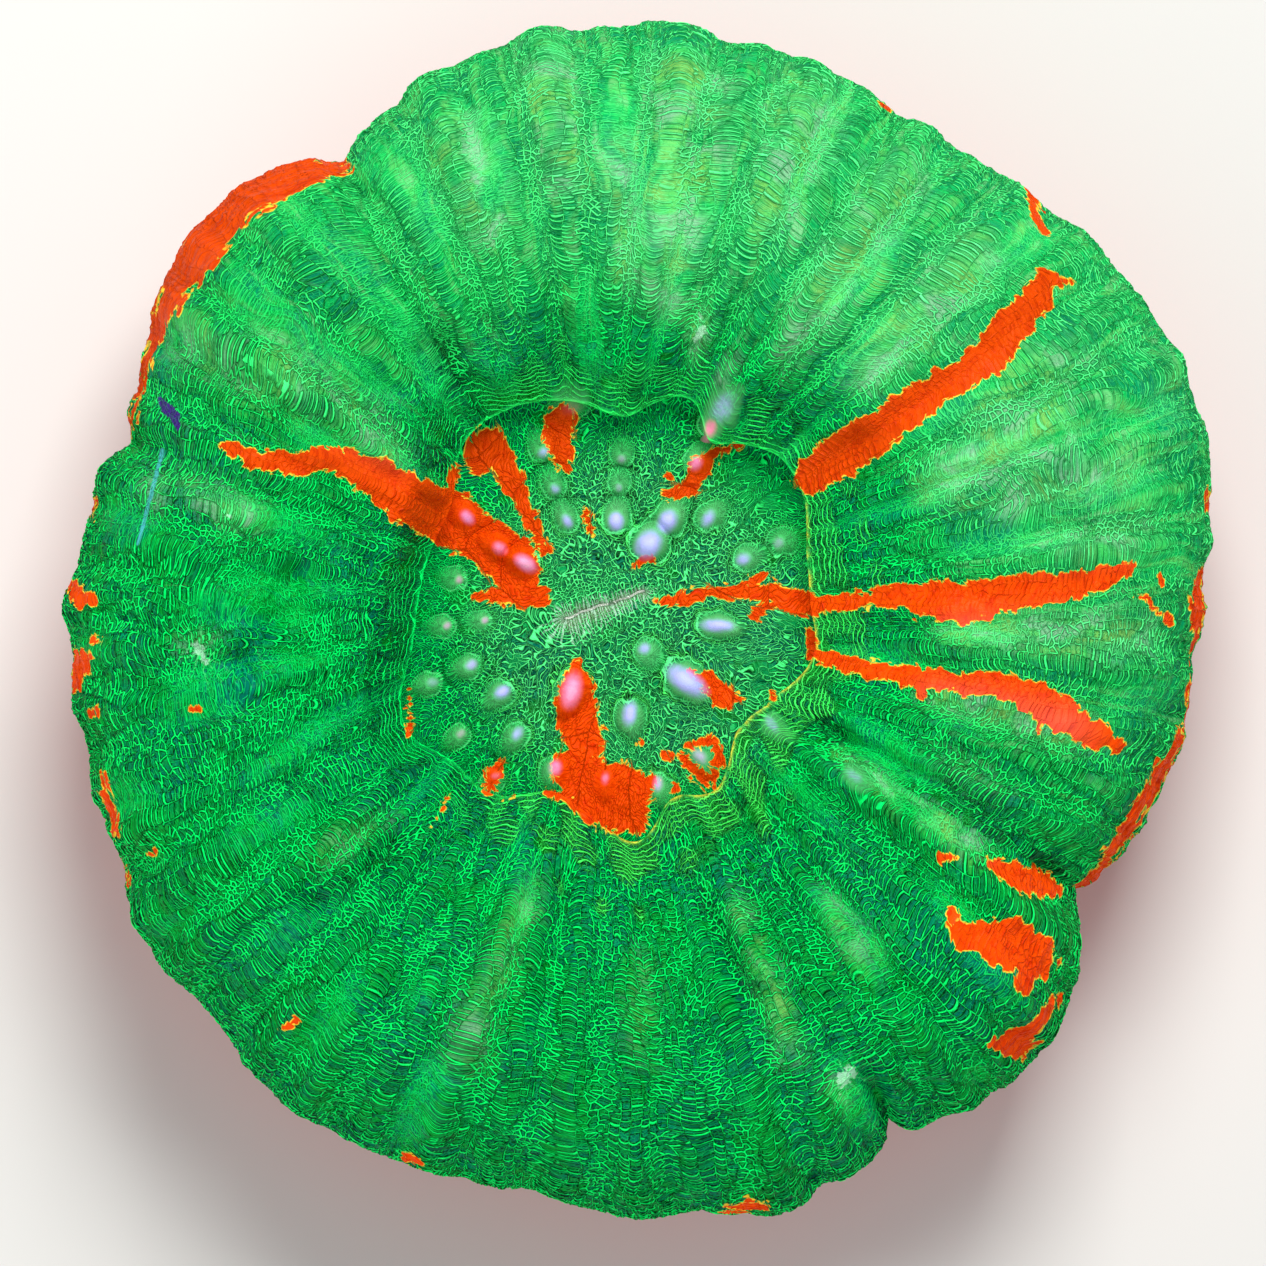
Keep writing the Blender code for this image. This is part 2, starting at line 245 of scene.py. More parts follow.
@dataclass(frozen=True)
class CoralForm:
    """The coral's grown form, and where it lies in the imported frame.

    Heights stand above the cut. The curves round the coral are (angle, value) points, and the
    ridges (angle, height) points.
    """

    crest_z: float = 29.5
    rim_z: float = 16.5
    lip_z: float = 22.0
    disc_z: float = 19.2
    skirt_z: float = 7.6
    skirt_ratio: float = 0.76
    tuck_ratio: float = 0.60
    foot_top_z: float = 6.6
    foot_top_ratio: float = 0.645
    foot_base_ratio: float = 0.575
    disc_centre: Pair = (-1.8, 0.6)
    disc_slope: float = 0.02
    overhang: float = 0.7
    pocket: float = 0.12
    crest_share: float = 0.47
    shoulder_power: float = 2.3
    wall_width: float = 3.8
    filler_height: float = 0.38
    ridge_pitch: float = 6.6
    ridge_roundness: float = 0.8
    ridge_gain: float = 0.95
    ridge_sink: float = 0.35
    rim_calm: float = 0.5
    mouth_centre: Pair = (-2.65, 1.25)
    mouth_half: float = 3.6
    mouth_turn: float = 18.5
    mouth_depth: float = 0.4
    mouth_width: float = 0.45
    mouth_lips: float = 0.35
    mound_height: float = 0.8
    mound_area: float = 20.0
    outline: Points = (
        (0, 41.3), (10, 42.6), (20, 43.9), (36, 43.9), (48, 42.8), (64, 42.0), (78, 43.4),
        (90, 43.9), (101, 44.0), (112, 42.9), (119, 41.5), (124, 41.2), (130, 42.9), (136, 43.4),
        (147, 42.0), (160, 40.6), (168, 41.3), (184, 42.0), (202, 42.2), (214, 43.4),
        (221, 42.9), (234, 44.0), (255, 43.1), (274, 43.9), (284, 44.6), (295, 42.9),
        (311, 43.2), (319, 41.8), (327, 38.4), (335, 39.6), (347, 40.7),
    )
    lip: Points = (
        (4, 14.3), (16, 14.6), (34, 16.4), (45, 16.6), (53, 15.6), (62, 14.5), (69, 16.5),
        (89, 14.5), (101, 15.9), (118, 17.0), (131, 16.9), (145, 14.7), (164, 14.4), (188, 15.1),
        (210, 17.6), (222, 16.2), (235, 16.2), (251, 13.9), (263, 15.0), (276, 16.8),
        (286, 14.3), (299, 14.9), (316, 12.4), (331, 13.1), (348, 14.9),
    )
    wall_height: Points = (
        (0, 0.8), (60, 1.0), (105, 1.6), (130, 3.6), (160, 5.2), (190, 5.0), (212, 3.2),
        (240, 1.2), (300, 0.9), (326, 2.2), (345, 0.8),
    )
    main_ridges: Points = (
        (8, 0.5), (25, 0.8), (40, 0.6), (47.5, 0.7), (60, 0.8), (72, 0.7), (85.5, 1.0),
        (99.5, 0.8), (111.5, 0.8), (119, 0.5), (133, 0.6), (146, 0.9), (158, 0.5), (165, 0.7),
        (177, 0.4), (190, 0.4), (203, 0.5), (217, 0.9), (235, 0.7), (248.5, 1.1), (262, 0.5),
        (270, 0.8), (284, 0.7), (290.5, 0.9), (304, 0.8), (315, 0.6), (323.5, 1.2), (334, 0.6),
        (347, 0.6),
    )
    folds: tuple[Groove, ...] = (
        (((-22.8, 35.2), (-21.0, 31.8)), 0.7, 1.1),
        (((-21.0, 31.8), (-17.2, 25.0), (-14.9, 20.4)), 0.6, 1.8),
        (((-14.6, 19.6), (-12.6, 14.4)), 1.5, 1.9),
        (((33.6, -20.9), (30.2, -18.4)), 0.9, 1.1),
        (((30.2, -18.4), (20.8, -11.9), (14.4, -8.4)), 1.1, 1.3),
        (((14.4, -8.4), (10.4, -6.4)), 1.6, 1.3),
        (((19.0, -38.2), (18.0, -36.0), (17.0, -33.8)), 1.4, 1.1),
        (((-39.2, 13.6), (-35.0, 13.0), (-30.8, 12.6)), 0.5, 1.2),
        (((-7.0, 33.0), (-6.2, 26.0), (-5.4, 18.6)), 0.7, 1.0),
        (((4.6, 36.0), (4.0, 28.0), (3.6, 20.0)), 0.5, 0.9),
        (((-18.4, -16.2), (-21.0, -18.6), (-24.2, -21.0)), 1.1, 1.2),
        (((-5.6, -19.0), (-6.6, -24.4), (-7.6, -30.0)), 1.1, 1.3),
        (((2.6, -17.4), (5.8, -23.0), (8.6, -28.0)), 0.9, 1.3),
        (((-25.6, 3.9), (-27.2, 0.4), (-29.6, -2.6)), 1.0, 0.9),
        (((5.6, -37.0), (5.0, -43.0)), 0.6, 1.0),
    )
    swellings: tuple[Spot, ...] = (
        ((-25.4, 22.6), 8.5, 2.4), ((-33.0, 1.0), 6.5, 0.8), ((-41.6, 0.6), 2.0, 0.5),
        ((5.6, 27.0), 8.0, 0.8), ((28.0, 12.0), 9.0, 0.7), ((17.0, -11.6), 4.5, 1.6),
        ((26.0, -25.6), 6.0, 1.2), ((-10.2, -27.6), 6.0, 0.8), ((-16.6, -20.4), 4.0, -0.9),
        ((9.0, -20.0), 5.0, -0.8),
    )
    teeth: tuple[Tooth, ...] = tuple(Tooth(*row) for row in (
        (-7.2, 12.5, 0.52, 0.44, 0.8, 60, 0.5), (-1.4, 12.0, 0.44, 0.44, 0.8, 90, 0.35, 0.3),
        (-1.6, 9.9, 0.44, 0.37, 0.7, 90, 0.35, 0.2), (-1.8, 7.4, 0.74, 0.59, 1.3, 90, 1.0),
        (-6.3, 9.8, 0.52, 0.44, 0.9, 120, 0.45), (-5.4, 7.4, 0.67, 0.44, 1.0, 120, 0.6),
        (0.6, 5.7, 1.18, 0.96, 1.8, 50, 1.0), (2.0, 7.4, 0.96, 0.74, 1.6, 60, 0.95),
        (5.0, 7.6, 0.81, 0.52, 1.1, 60, 0.6), (4.1, 11.7, 0.67, 0.59, 1.1, 60, 0.5, 0.6),
        (7.6, 4.6, 0.67, 0.52, 0.9, 20, 0.6), (10.2, 5.8, 0.59, 0.52, 0.8, 30, 0.35, 0.2),
        (5.7, -0.3, 1.41, 0.52, 1.2, -2, 0.85), (0.3, -2.0, 0.59, 0.52, 0.8, 30, 0.5),
        (3.4, -4.4, 1.85, 0.89, 2.2, -33, 1.0), (-5.1, -5.1, 1.48, 0.81, 1.8, 78, 0.9, 0.9),
        (-0.8, -6.8, 1.04, 0.59, 1.5, 80, 0.8), (-8.5, 4.3, 0.96, 0.59, 1.5, -35, 0.95, 0.8),
        (-10.4, 5.4, 0.67, 0.52, 1.2, -35, 0.6, 0.8),
        (-12.8, 7.7, 0.74, 0.52, 0.9, -50, 0.55, 0.4),
        (-13.4, 3.1, 0.44, 0.37, 0.7, 60, 0.4, 0.6),
        (-14.3, -0.3, 0.44, 0.37, 0.7, 30, 0.4, 0.5),
        (-11.5, 0.1, 0.37, 0.3, 0.6, 30, 0.45, 0.5),
        (-12.5, -3.2, 0.59, 0.44, 0.9, 30, 0.55, 0.1),
        (-15.4, -4.5, 0.59, 0.44, 0.8, 20, 0.35, 0.1), (-10.2, -5.2, 0.74, 0.52, 1.2, 35, 0.75),
        (-13.3, -8.3, 0.52, 0.37, 0.8, 45, 0.4, 0.5), (-9.1, -8.3, 0.67, 0.44, 1.0, 55, 0.6),
        (-6.3, -10.8, 0.67, 0.59, 1.1, 80, 0.6, 0.6),
        (-2.6, -11.6, 0.59, 0.37, 0.7, 80, 0.4, 0.6),
        (1.3, -12.0, 0.74, 0.44, 0.9, 85, 0.55, 0.3),
        (4.4, -10.0, 0.81, 0.52, 1.0, -45, 0.5, 0.3),
        (-10.7, -11.4, 0.52, 0.3, 0.6, 10, 0.3, 0.5), (9.7, -7.6, 1.04, 0.44, 0.8, -55, 0.35),
        (15.7, -11.4, 1.04, 0.52, 0.7, -35, 0.3), (-5.1, 15.8, 1.04, 0.74, 0.5, 10, 0.25, 1.0),
        (5.2, 14.3, 0.75, 0.5, 0.8, 80, 0.75, 1.0), (6.1, 15.8, 1.6, 1.0, 0.7, 62, 0.42),
        (8.5, -3.2, 0.6, 0.5, 0.7, 60, 0.0), (5.0, -2.0, 0.4, 0.35, 0.4, 0, 0.0),
        (10.3, 0.0, 0.5, 0.45, 0.6, 0, 0.05), (-8.7, -2.7, 0.5, 0.45, 0.5, 0, 0.05),
        (7.5, 10.8, 0.45, 0.4, 0.5, 45, 0.0), (9.4, 12.6, 0.4, 0.35, 0.4, 45, 0.0),
        (8.9, 8.3, 0.4, 0.35, 0.4, 45, 0.0),
    ))
    scale: float = 1.0
    shift: Pair = (0.0, 0.0)

    @classmethod
    def fitted(cls, box: tuple[Any, Any]) -> "CoralForm":
        """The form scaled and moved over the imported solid.

        Args:
            box: The solid's lowest and highest corners, in metres.

        Returns:
            The fitted form.
        """
        plain = cls()
        angle, along = np.meshgrid(np.arange(0, 360, 0.5), np.linspace(0.8, 1.3, 26))
        x, y, _ = plain.flesh(angle, along)
        low, high = [np.array(corner) / MM for corner in box]
        wide, long = x.max() - x.min(), y.max() - y.min()
        scale = ((high[0] - low[0]) + (high[1] - low[1])) / (wide + long)
        middle = (low[:2] + high[:2]) / 2
        shift = (
            float(middle[0] - scale * (x.max() + x.min()) / 2),
            float(middle[1] - scale * (y.max() + y.min()) / 2),
        )
        LOG.info("form fitted: scale %.4f, shift %.2f, %.2f mm", scale, *shift)
        return cls(scale=float(scale), shift=shift)

    def place(self, x: Values, y: Values, z: Values) -> Values:
        """Places shaped points in the frame.

        Args:
            x: Places along X, in millimetres.
            y: Places along Y.
            z: Heights above the cut.

        Returns:
            One row of three coordinates for each point, in metres.
        """
        points = np.column_stack([np.ravel(x), np.ravel(y), np.ravel(z)]) * self.scale
        points[:, 0] += self.shift[0]
        points[:, 1] += self.shift[1]
        return points * MM

    def ridges(self) -> list[tuple[float, float]]:
        """Each ridge's angle and height: the main ones with lower ones between them."""
        found = []
        closed = self.main_ridges + ((self.main_ridges[0][0] + 360, self.main_ridges[0][1]),)
        for (start, height), (end, _) in zip(closed, closed[1:], strict=False):
            parts = max(1, round((end - start) / self.ridge_pitch))
            found.append((start, height))
            between = [start + (end - start) * k / parts for k in range(1, parts)]
            found += [(angle, self.filler_height) for angle in between]
        return found

    def ridge_place(self, angle: Values) -> tuple[Values, Values]:
        """Counts the ridges up to an angle.

        Args:
            angle: Angles round the coral.

        Returns:
            The count, whole on a crest, and the nearest ridge's height.
        """
        ridges = self.ridges()
        crests = np.array([r[0] for r in ridges])
        heights = np.array([r[1] for r in ridges])
        crests = np.concatenate([[crests[-1] - 360], crests, [crests[0] + 360, crests[1] + 360]])
        heights = np.concatenate([[heights[-1]], heights, heights[:2]])
        angle = np.mod(angle - ridges[0][0], 360) + ridges[0][0]
        place = np.interp(angle, crests, np.arange(len(crests)))
        return place, heights[np.rint(place).astype(int)]

    def ridge_bulge(self, angle: Values) -> tuple[Values, Values]:
        """How full the ridges are, 0 in a crease to 1 on a crest, and the nearest one's height."""
        place, height = self.ridge_place(angle)
        return (0.5 + 0.5 * np.cos(math.tau * place)) ** self.ridge_roundness, height

    def relief(self, x: Values, y: Values, angle: Values, along: Values) -> Values:
        """How far the flesh stands out from its smooth ring.

        Args:
            x, y: Places in plan.
            angle, along: Places round the coral and along the flesh's profile.

        Returns:
            Heights along the smooth ring's normal.
        """
        bulge, height = self.ridge_bulge(angle)
        fade = smooth_step(-0.1, 0.35, along) * (1 - self.rim_calm * smooth_step(0.5, 1.0, along))
        fade = fade * (1 - 0.75 * smooth_step(1.05, 1.8, along))
        relief = (bulge * height * self.ridge_gain - self.ridge_sink) * fade
        open_part = smooth_step(0.0, 0.12, along)
        for line, depth, width in self.folds:
            relief -= open_part * depth * bell(line_distance(x, y, line), width)
        for middle, spread, height in self.swellings:
            relief += height * hill(x, y, middle, spread)
        return relief * (1 - smooth_step(1.6, 2.0, along)) * smooth_step(-self.pocket, 0.0, along)

    def span(self, angle: Values) -> Values:
        """The way in plan from the lip out to the rim."""
        return loop_curve(self.outline, angle) - loop_curve(self.lip, angle)

    def ring_profile(self, angle: Values, along: Values) -> tuple[Values, Values]:
        """The smooth ring from the lip (0) to the rim (1).

        Args:
            angle, along: Places round the coral and along the flesh's profile.

        Returns:
            The share of the way out in plan, and the height.
        """
        wall = loop_curve(self.wall_height, angle)
        inner = np.clip(along / self.crest_share, 0, 1)
        steep = smooth_step(0, self.wall_width / self.span(angle), along)
        rise = self.crest_z - self.lip_z - wall
        inside_z = self.lip_z + wall * steep + rise * np.sin(inner * math.pi / 2) ** 1.25
        turn = np.clip((along - self.crest_share) / (1 - self.crest_share), 0, 1) * math.pi / 2
        out, up = (part(turn) ** (2 / self.shoulder_power) for part in (np.sin, np.cos))
        outside = along > self.crest_share
        share = np.where(outside, self.crest_share + (1 - self.crest_share) * out, along)
        return share, np.where(outside, self.rim_z + (self.crest_z - self.rim_z) * up, inside_z)

    def ring_normal(self, angle: Values, along: Values) -> tuple[Values, Values]:
        """Outward and upward parts of the smooth ring's normal.

        Args:
            angle, along: Places round the coral and along the flesh's profile.

        Returns:
            The outward part and the upward part.
        """
        step = 0.01
        middle = np.clip(along, step, 1 - step)
        share_a, z_a = self.ring_profile(angle, middle - step)
        share_b, z_b = self.ring_profile(angle, middle + step)
        out, up = z_a - z_b, (share_b - share_a) * self.span(angle)
        size = np.hypot(out, up)
        turn = np.clip(along - 1, 0, 1) * math.pi / 2
        under = along > 1
        return np.where(under, np.cos(turn), out / size), np.where(under, -np.sin(turn), up / size)

    def disc_height(self, x: Values, y: Values) -> Values:
        """Height of the oral disc with its tooth bumps and the mouth.

        Args:
            x, y: Places in plan.

        Returns:
            Heights above the cut.
        """
        mx, my = x - self.mouth_centre[0], y - self.mouth_centre[1]
        mound = self.mound_height * np.exp(-(mx * mx + my * my) / self.mound_area)
        z = self.disc_z + self.disc_slope * np.hypot(mx, my) + mound + self.bumps(x, y)
        u, v = self.mouth_axes(x, y)
        u, v = u / self.mouth_half, v / self.mouth_width
        lips = self.mouth_lips * np.exp(-(u**4) - ((np.abs(v) - 2.2) / 1.2) ** 2)
        return z + lips - self.mouth_depth * np.exp(-(u**4) - v * v)

    def mouth_axes(self, x: Values, y: Values) -> tuple[Values, Values]:
        """Places along and across the mouth's slit, from its middle."""
        middle_x, middle_y = self.mouth_centre
        return turned(x - middle_x, y - middle_y, math.radians(self.mouth_turn))

    def bumps(self, x: Values, y: Values) -> Values:
        """Height of the tooth bumps.

        Args:
            x, y: Places in plan.

        Returns:
            Heights above the smooth flesh.
        """
        z = np.zeros(np.shape(x))
        for tooth in self.teeth:
            reach, _, _ = tooth.dome(x, y, self.mouth_centre)
            swell = np.clip(1 - reach**2, 0, 1) ** 0.8
            peak = np.exp(-(tooth.reach(x, y, 0.1) ** 2))
            z = np.maximum(z, tooth.height * (0.68 * swell + 0.3 * peak))
        return z

    def flesh(self, angle: Values, along: Values) -> tuple[Values, Values, Values]:
        """The flesh's surface from under the lip to where it tucks in over the foot.

        Args:
            angle, along: Places round the coral and along the flesh's profile.

        Returns:
            Places along X, Y and Z, in millimetres.
        """
        c, s = compass(angle)
        lip, rim = loop_curve(self.lip, angle), loop_curve(self.outline, angle)
        lip_x, lip_y = self.disc_centre[0] + lip * c, self.disc_centre[1] + lip * s
        share, z = self.ring_profile(angle, np.clip(along, 0, 1))
        x, y = lip_x + (rim * c - lip_x) * share, lip_y + (rim * s - lip_y) * share
        turn = np.clip(along - 1, 0, 1) * math.pi / 2
        under = along > 1
        shrink = self.skirt_ratio + (1 - self.skirt_ratio) * np.cos(turn)
        shrink = shrink - (self.skirt_ratio - self.tuck_ratio) * np.clip((along - 2) / TUCK, 0, 1)
        under_z = self.rim_z - (self.rim_z - self.skirt_z) * np.sin(turn)
        x, y = np.where(under, rim * c * shrink, x), np.where(under, rim * s * shrink, y)
        z = np.where(under, under_z, z)
        place = np.clip(1 + along / self.pocket, 0, 1) * math.pi / 2
        inside = along < 0
        floor = self.disc_height(lip_x, lip_y) - 0.25
        x = np.where(inside, lip_x + self.overhang * np.cos(place) * c, x)
        y = np.where(inside, lip_y + self.overhang * np.cos(place) * s, y)
        z = np.where(inside, floor + (self.lip_z - floor) * np.sin(place), z)
        out, up = self.ring_normal(angle, along)
        relief = self.relief(x, y, angle, along)
        return x + relief * out * c, y + relief * out * s, z + relief * up


@dataclass(frozen=True)
class Patches:
    """The orange-red patches on the flesh, as strokes in plan and a band on the sides."""

    strokes: tuple[Stroke, ...] = (
        ((-30.5, 13.0, 0.3), (-28.0, 11.8, 0.75), (-25.2, 11.6, 0.8), (-22.2, 11.9, 0.95),
         (-19.6, 10.6, 1.5), (-16.9, 8.9, 1.7), (-14.3, 7.8, 2.1), (-11.8, 6.1, 1.8),
         (-9.8, 4.6, 2.0), (-9.1, 3.4, 1.7)),
        ((-12.1, 1.9, 0.35), (-10.0, 1.9, 0.8), (-7.6, 1.8, 0.9)),
        ((-13.7, 11.2, 0.35), (-14.2, 9.7, 0.4)),
        ((-11.3, 13.4, 1.15), (-11.9, 11.9, 1.0)),
        ((-10.4, 12.5, 0.9), (-9.7, 10.8, 1.0), (-8.8, 9.0, 0.65), (-7.9, 7.1, 0.5),
         (-7.0, 5.2, 0.4)),
        ((-5.9, 14.9, 1.15), (-6.1, 13.6, 1.1), (-5.8, 12.2, 0.75), (-5.6, 11.3, 0.35)),
        ((-3.9, 8.0, 0.3), (-3.8, 6.8, 0.35)),
        ((7.4, 13.1, 0.05), (5.6, 12.5, 0.35), (4.4, 11.4, 0.8), (3.7, 10.0, 0.8), (2.3, 9.4, 0.45),
         (1.6, 9.8, 0.2)),
        ((2.3, 10.6, 0.25),),
        ((-0.6, 4.2, 0.2), (0.9, 4.7, 0.3)),
        ((12.4, 10.5, 1.0), (13.5, 11.6, 1.4), (15.7, 12.8, 1.7), (17.8, 14.3, 1.4),
         (19.9, 15.8, 1.35), (22.1, 17.3, 1.2), (24.1, 18.5, 1.25), (26.1, 20.2, 1.4),
         (27.8, 22.2, 1.3), (29.2, 24.0, 1.0), (29.7, 25.3, 0.6), (31.4, 24.9, 0.3)),
        ((29.9, 23.2, 0.4),),
        ((1.3, 1.4, 0.2), (2.9, 1.7, 0.45), (5.1, 2.2, 0.45), (7.7, 2.3, 0.6), (9.6, 2.1, 0.8),
         (11.8, 1.3, 0.95), (14.0, 1.3, 0.6), (16.6, 1.6, 0.6), (19.2, 1.8, 0.85),
         (21.4, 1.6, 1.35), (24.0, 1.6, 1.4), (26.6, 1.8, 1.3), (29.2, 2.2, 1.15),
         (31.8, 2.6, 1.0), (34.4, 3.3, 0.75), (36.2, 4.0, 0.3)),
        ((8.4, 0.5, 0.4), (9.6, 1.2, 0.45), (10.4, 1.9, 0.4)),
        ((7.7, 2.8, 0.3), (9.2, 3.2, 0.3)),
        ((21.1, 0.6, 0.35), (23.6, 0.3, 0.4), (25.5, 0.3, 0.25)),
        ((36.6, 1.9, 0.15), (37.6, 1.5, 0.25), (38.3, 0.6, 0.35), (39.2, -0.2, 0.25)),
        ((38.5, 3.0, 0.2),),
        ((12.5, -0.6, 0.2), (12.8, -2.3, 0.45), (15.1, -3.1, 0.5), (17.7, -3.6, 0.6),
         (20.3, -4.1, 0.75), (22.9, -4.5, 0.8), (25.6, -4.6, 0.95), (27.9, -5.1, 1.05),
         (29.8, -6.1, 1.3), (31.8, -7.5, 1.2), (33.7, -8.4, 0.95), (34.9, -9.0, 0.45)),
        ((20.7, -5.4, 0.3),),
        ((29.3, -8.1, 0.35),),
        ((-4.7, -3.1, 0.45), (-4.7, -5.1, 1.35), (-4.7, -6.9, 1.6), (-4.1, -8.9, 1.5)),
        ((-4.8, -11.0, 1.8), (-3.2, -12.4, 2.1), (-1.3, -12.7, 2.2), (-0.9, -13.9, 1.6),
         (-0.1, -15.2, 0.6)),
        ((-6.9, -12.6, 0.15), (-5.6, -12.9, 0.5), (-4.0, -13.9, 0.7), (-2.4, -14.6, 0.8),
         (-0.8, -15.1, 0.7)),
        ((0.6, -11.9, 0.6),),
        ((1.6, -9.9, 0.15), (3.0, -9.9, 0.35), (4.2, -11.2, 0.45), (5.1, -12.2, 0.35)),
        ((3.4, -9.3, 0.2), (4.6, -8.9, 0.35), (5.6, -8.8, 0.4), (5.7, -10.4, 0.5),
         (5.3, -11.6, 0.35)),
        ((2.5, -12.3, 0.3),),
        ((0.1, -9.0, 0.2),),
        ((-10.3, -10.6, 0.35), (-10.9, -11.4, 0.65), (-11.2, -12.5, 0.3)),
        ((-10.0, -13.2, 0.1), (-9.3, -13.0, 0.08)),
        ((-14.3, -13.2, 0.15), (-14.8, -14.1, 0.25), (-15.4, -15.0, 0.15)),
        ((3.6, -3.6, 0.2), (5.2, -4.6, 0.8), (6.2, -5.6, 0.9), (7.6, -5.7, 0.25)),
        ((9.8, -5.5, 0.25),),
        ((22.2, -17.3, 0.45), (23.3, -17.4, 0.3)),
        ((25.8, -18.0, 0.45), (27.7, -18.7, 0.95), (29.6, -19.4, 1.0), (30.4, -19.8, 0.6)),
        ((22.9, -21.6, 0.5), (23.4, -23.1, 0.85), (25.3, -23.4, 1.2), (27.0, -23.8, 2.0),
         (29.2, -24.6, 1.4), (28.3, -26.6, 0.75)),
        ((26.3, -31.2, 0.6), (27.7, -31.2, 1.05), (29.2, -30.0, 0.6), (30.6, -27.8, 0.3)),
        ((41.4, 3.8, 0.25), (41.1, 0.9, 0.55), (41.0, -3.6, 0.3), (40.6, -6.9, 0.35),
         (39.1, -9.9, 0.4), (36.2, -14.9, 0.5), (34.0, -18.1, 0.3), (32.4, -19.6, 0.35)),
        ((41.9, 9.6, 0.25), (41.9, 8.4, 0.3)),
        ((28.7, 31.6, 0.2), (29.2, 30.0, 0.45), (29.8, 28.9, 0.25)),
        ((17.6, 38.1, 0.15), (18.2, 37.9, 0.15)),
        ((-21.6, 33.6, 0.35), (-23.6, 33.2, 0.75), (-25.4, 32.9, 1.15), (-27.6, 32.3, 1.7),
         (-29.7, 31.2, 1.6), (-31.5, 29.3, 1.9), (-32.6, 27.2, 1.8), (-34.2, 25.0, 1.1),
         (-35.3, 22.6, 0.7), (-36.2, 20.2, 0.4), (-37.0, 17.3, 0.35), (-37.6, 14.8, 0.3),
         (-38.1, 13.4, 0.12)),
        ((-41.9, 2.6, 0.35), (-41.3, 1.7, 0.65), (-40.4, 1.5, 0.35)),
        ((-40.1, -1.4, 0.2), (-40.6, -1.3, 0.15)),
        ((-41.3, -2.9, 0.8), (-41.6, -4.5, 0.6)),
        ((-40.0, -6.3, 0.3), (-40.4, -6.8, 0.3)),
        ((-39.7, -11.4, 0.3), (-39.1, -13.6, 0.35), (-38.7, -15.8, 0.3)),
        ((-38.4, -17.8, 0.25), (-37.9, -19.1, 0.25)),
        ((-40.7, 7.9, 0.15), (-40.3, 8.9, 0.15)),
        ((6.4, -43.4, 0.3), (7.8, -43.2, 0.5), (9.1, -43.2, 0.3)),
        ((-17.4, -39.6, 0.15), (-16.2, -39.8, 0.15)),
        ((-33.2, -6.5, 0.15), (-32.5, -6.4, 0.2)),
        ((-36.4, -17.2, 0.15), (-35.9, -17.1, 0.15)),
        ((-26.4, -30.1, 0.2), (-25.4, -29.5, 0.3)),
        ((-17.1, -5.0, 0.02), (-17.0, -7.0, 0.1), (-17.1, -8.2, 0.25)),
    )
    side_edge: Points = (
        (0, 0.4), (14, 1.6), (30, 3.4), (46, 4.2), (60, 3.4), (78, 4.6), (95, 3.0), (112, 3.6),
        (119, 1.8), (123, -1.6), (138, -1.9), (150, -1.1), (157, 0.3), (163, 1.4), (176, 0.9),
        (192, 1.4), (206, 2.2), (222, 4.4), (238, 3.2), (255, 4.8), (270, 3.0), (283, 0.8),
        (297, 3.4), (312, 1.0), (325, 0.8), (340, 0.3),
    )

    def distance(self, x: Values, y: Values, angle: Values, below: Values) -> Values:
        """Distance to the edge of the nearest orange patch.

        Args:
            x, y: Places in plan.
            angle: Angles round the coral.
            below: How far past the rim, along the surface; negative above it.

        Returns:
            Distances in millimetres, negative inside a patch.
        """
        best = loop_curve(self.side_edge, angle) - below
        for stroke in self.strokes:
            best = np.minimum(best, stroke_distance(x, y, stroke))
        return np.clip(best, -5, 5)


@dataclass(frozen=True)
class PaleCrests:
    """Stretches of ridge where the flesh is drawn thin and pale over the skeleton.

    Each is (angle, where it starts, where it ends, width in degrees, strength).
    """

    stretches: tuple[tuple[float, float, float, float, float], ...] = (
        (10, 29.6, 38.5, 2.0, 0.45), (18, 28.0, 38.5, 2.0, 0.5), (25, 23.7, 35.5, 3.0, 0.9),
        (31, 29.6, 38.5, 1.8, 0.5), (47, 24.4, 37.7, 2.5, 0.8), (60, 25.9, 39.2, 2.5, 0.7),
        (61, 22.0, 26.0, 2.0, 0.5), (70.5, 16.5, 20.0, 1.6, 0.8),
        (72, 31.0, 41.4, 3.0, 0.7), (78.5, 20.5, 23.5, 1.6, 0.7),
        (85, 23.7, 41.4, 3.2, 0.9), (92, 24.4, 35.5, 2.0, 0.5), (99.5, 32.5, 43.0, 2.0, 0.6),
        (110.5, 31.0, 39.0, 2.5, 0.8), (145, 21.5, 35.5, 3.0, 0.42), (148, 32.0, 41.0, 2.0, 0.4),
        (165, 29.6, 37.7, 2.0, 0.5), (183, 31.5, 33.5, 1.2, 0.4), (217, 24.4, 29.6, 2.0, 0.3),
        (248, 21.5, 35.5, 2.2, 0.36), (270, 25.0, 32.5, 2.0, 0.22), (289.5, 22.0, 34.0, 2.0, 0.45),
        (292.5, 36.5, 38.5, 1.2, 0.35), (304, 24.4, 31.0, 2.0, 0.25), (326, 17.8, 30.6, 1.6, 0.55),
        (335, 24.4, 29.6, 2.0, 0.15), (346, 22.0, 34.0, 2.2, 0.6), (358.5, 22.5, 37.5, 2.2, 0.62),
    )
    spread: float = 1.25

    def strength(self, x: Values, y: Values) -> Values:
        """How pale the flesh is.

        Args:
            x, y: Places in plan.

        Returns:
            0 for plain flesh to 1 for the palest.
        """
        turn, reach = np.degrees(np.arctan2(y, x)), np.hypot(x, y)
        total = np.zeros(np.shape(x))
        for angle, start, end, width, strength in self.stretches:
            off = (np.mod(turn - angle + 180, 360) - 180) / (width * self.spread)
            ends = window(reach, (start - 2.5, start + 1.5), (end - 2, end + 2))
            total = np.maximum(total, strength * ends * np.exp(-(off**2)))
        return total


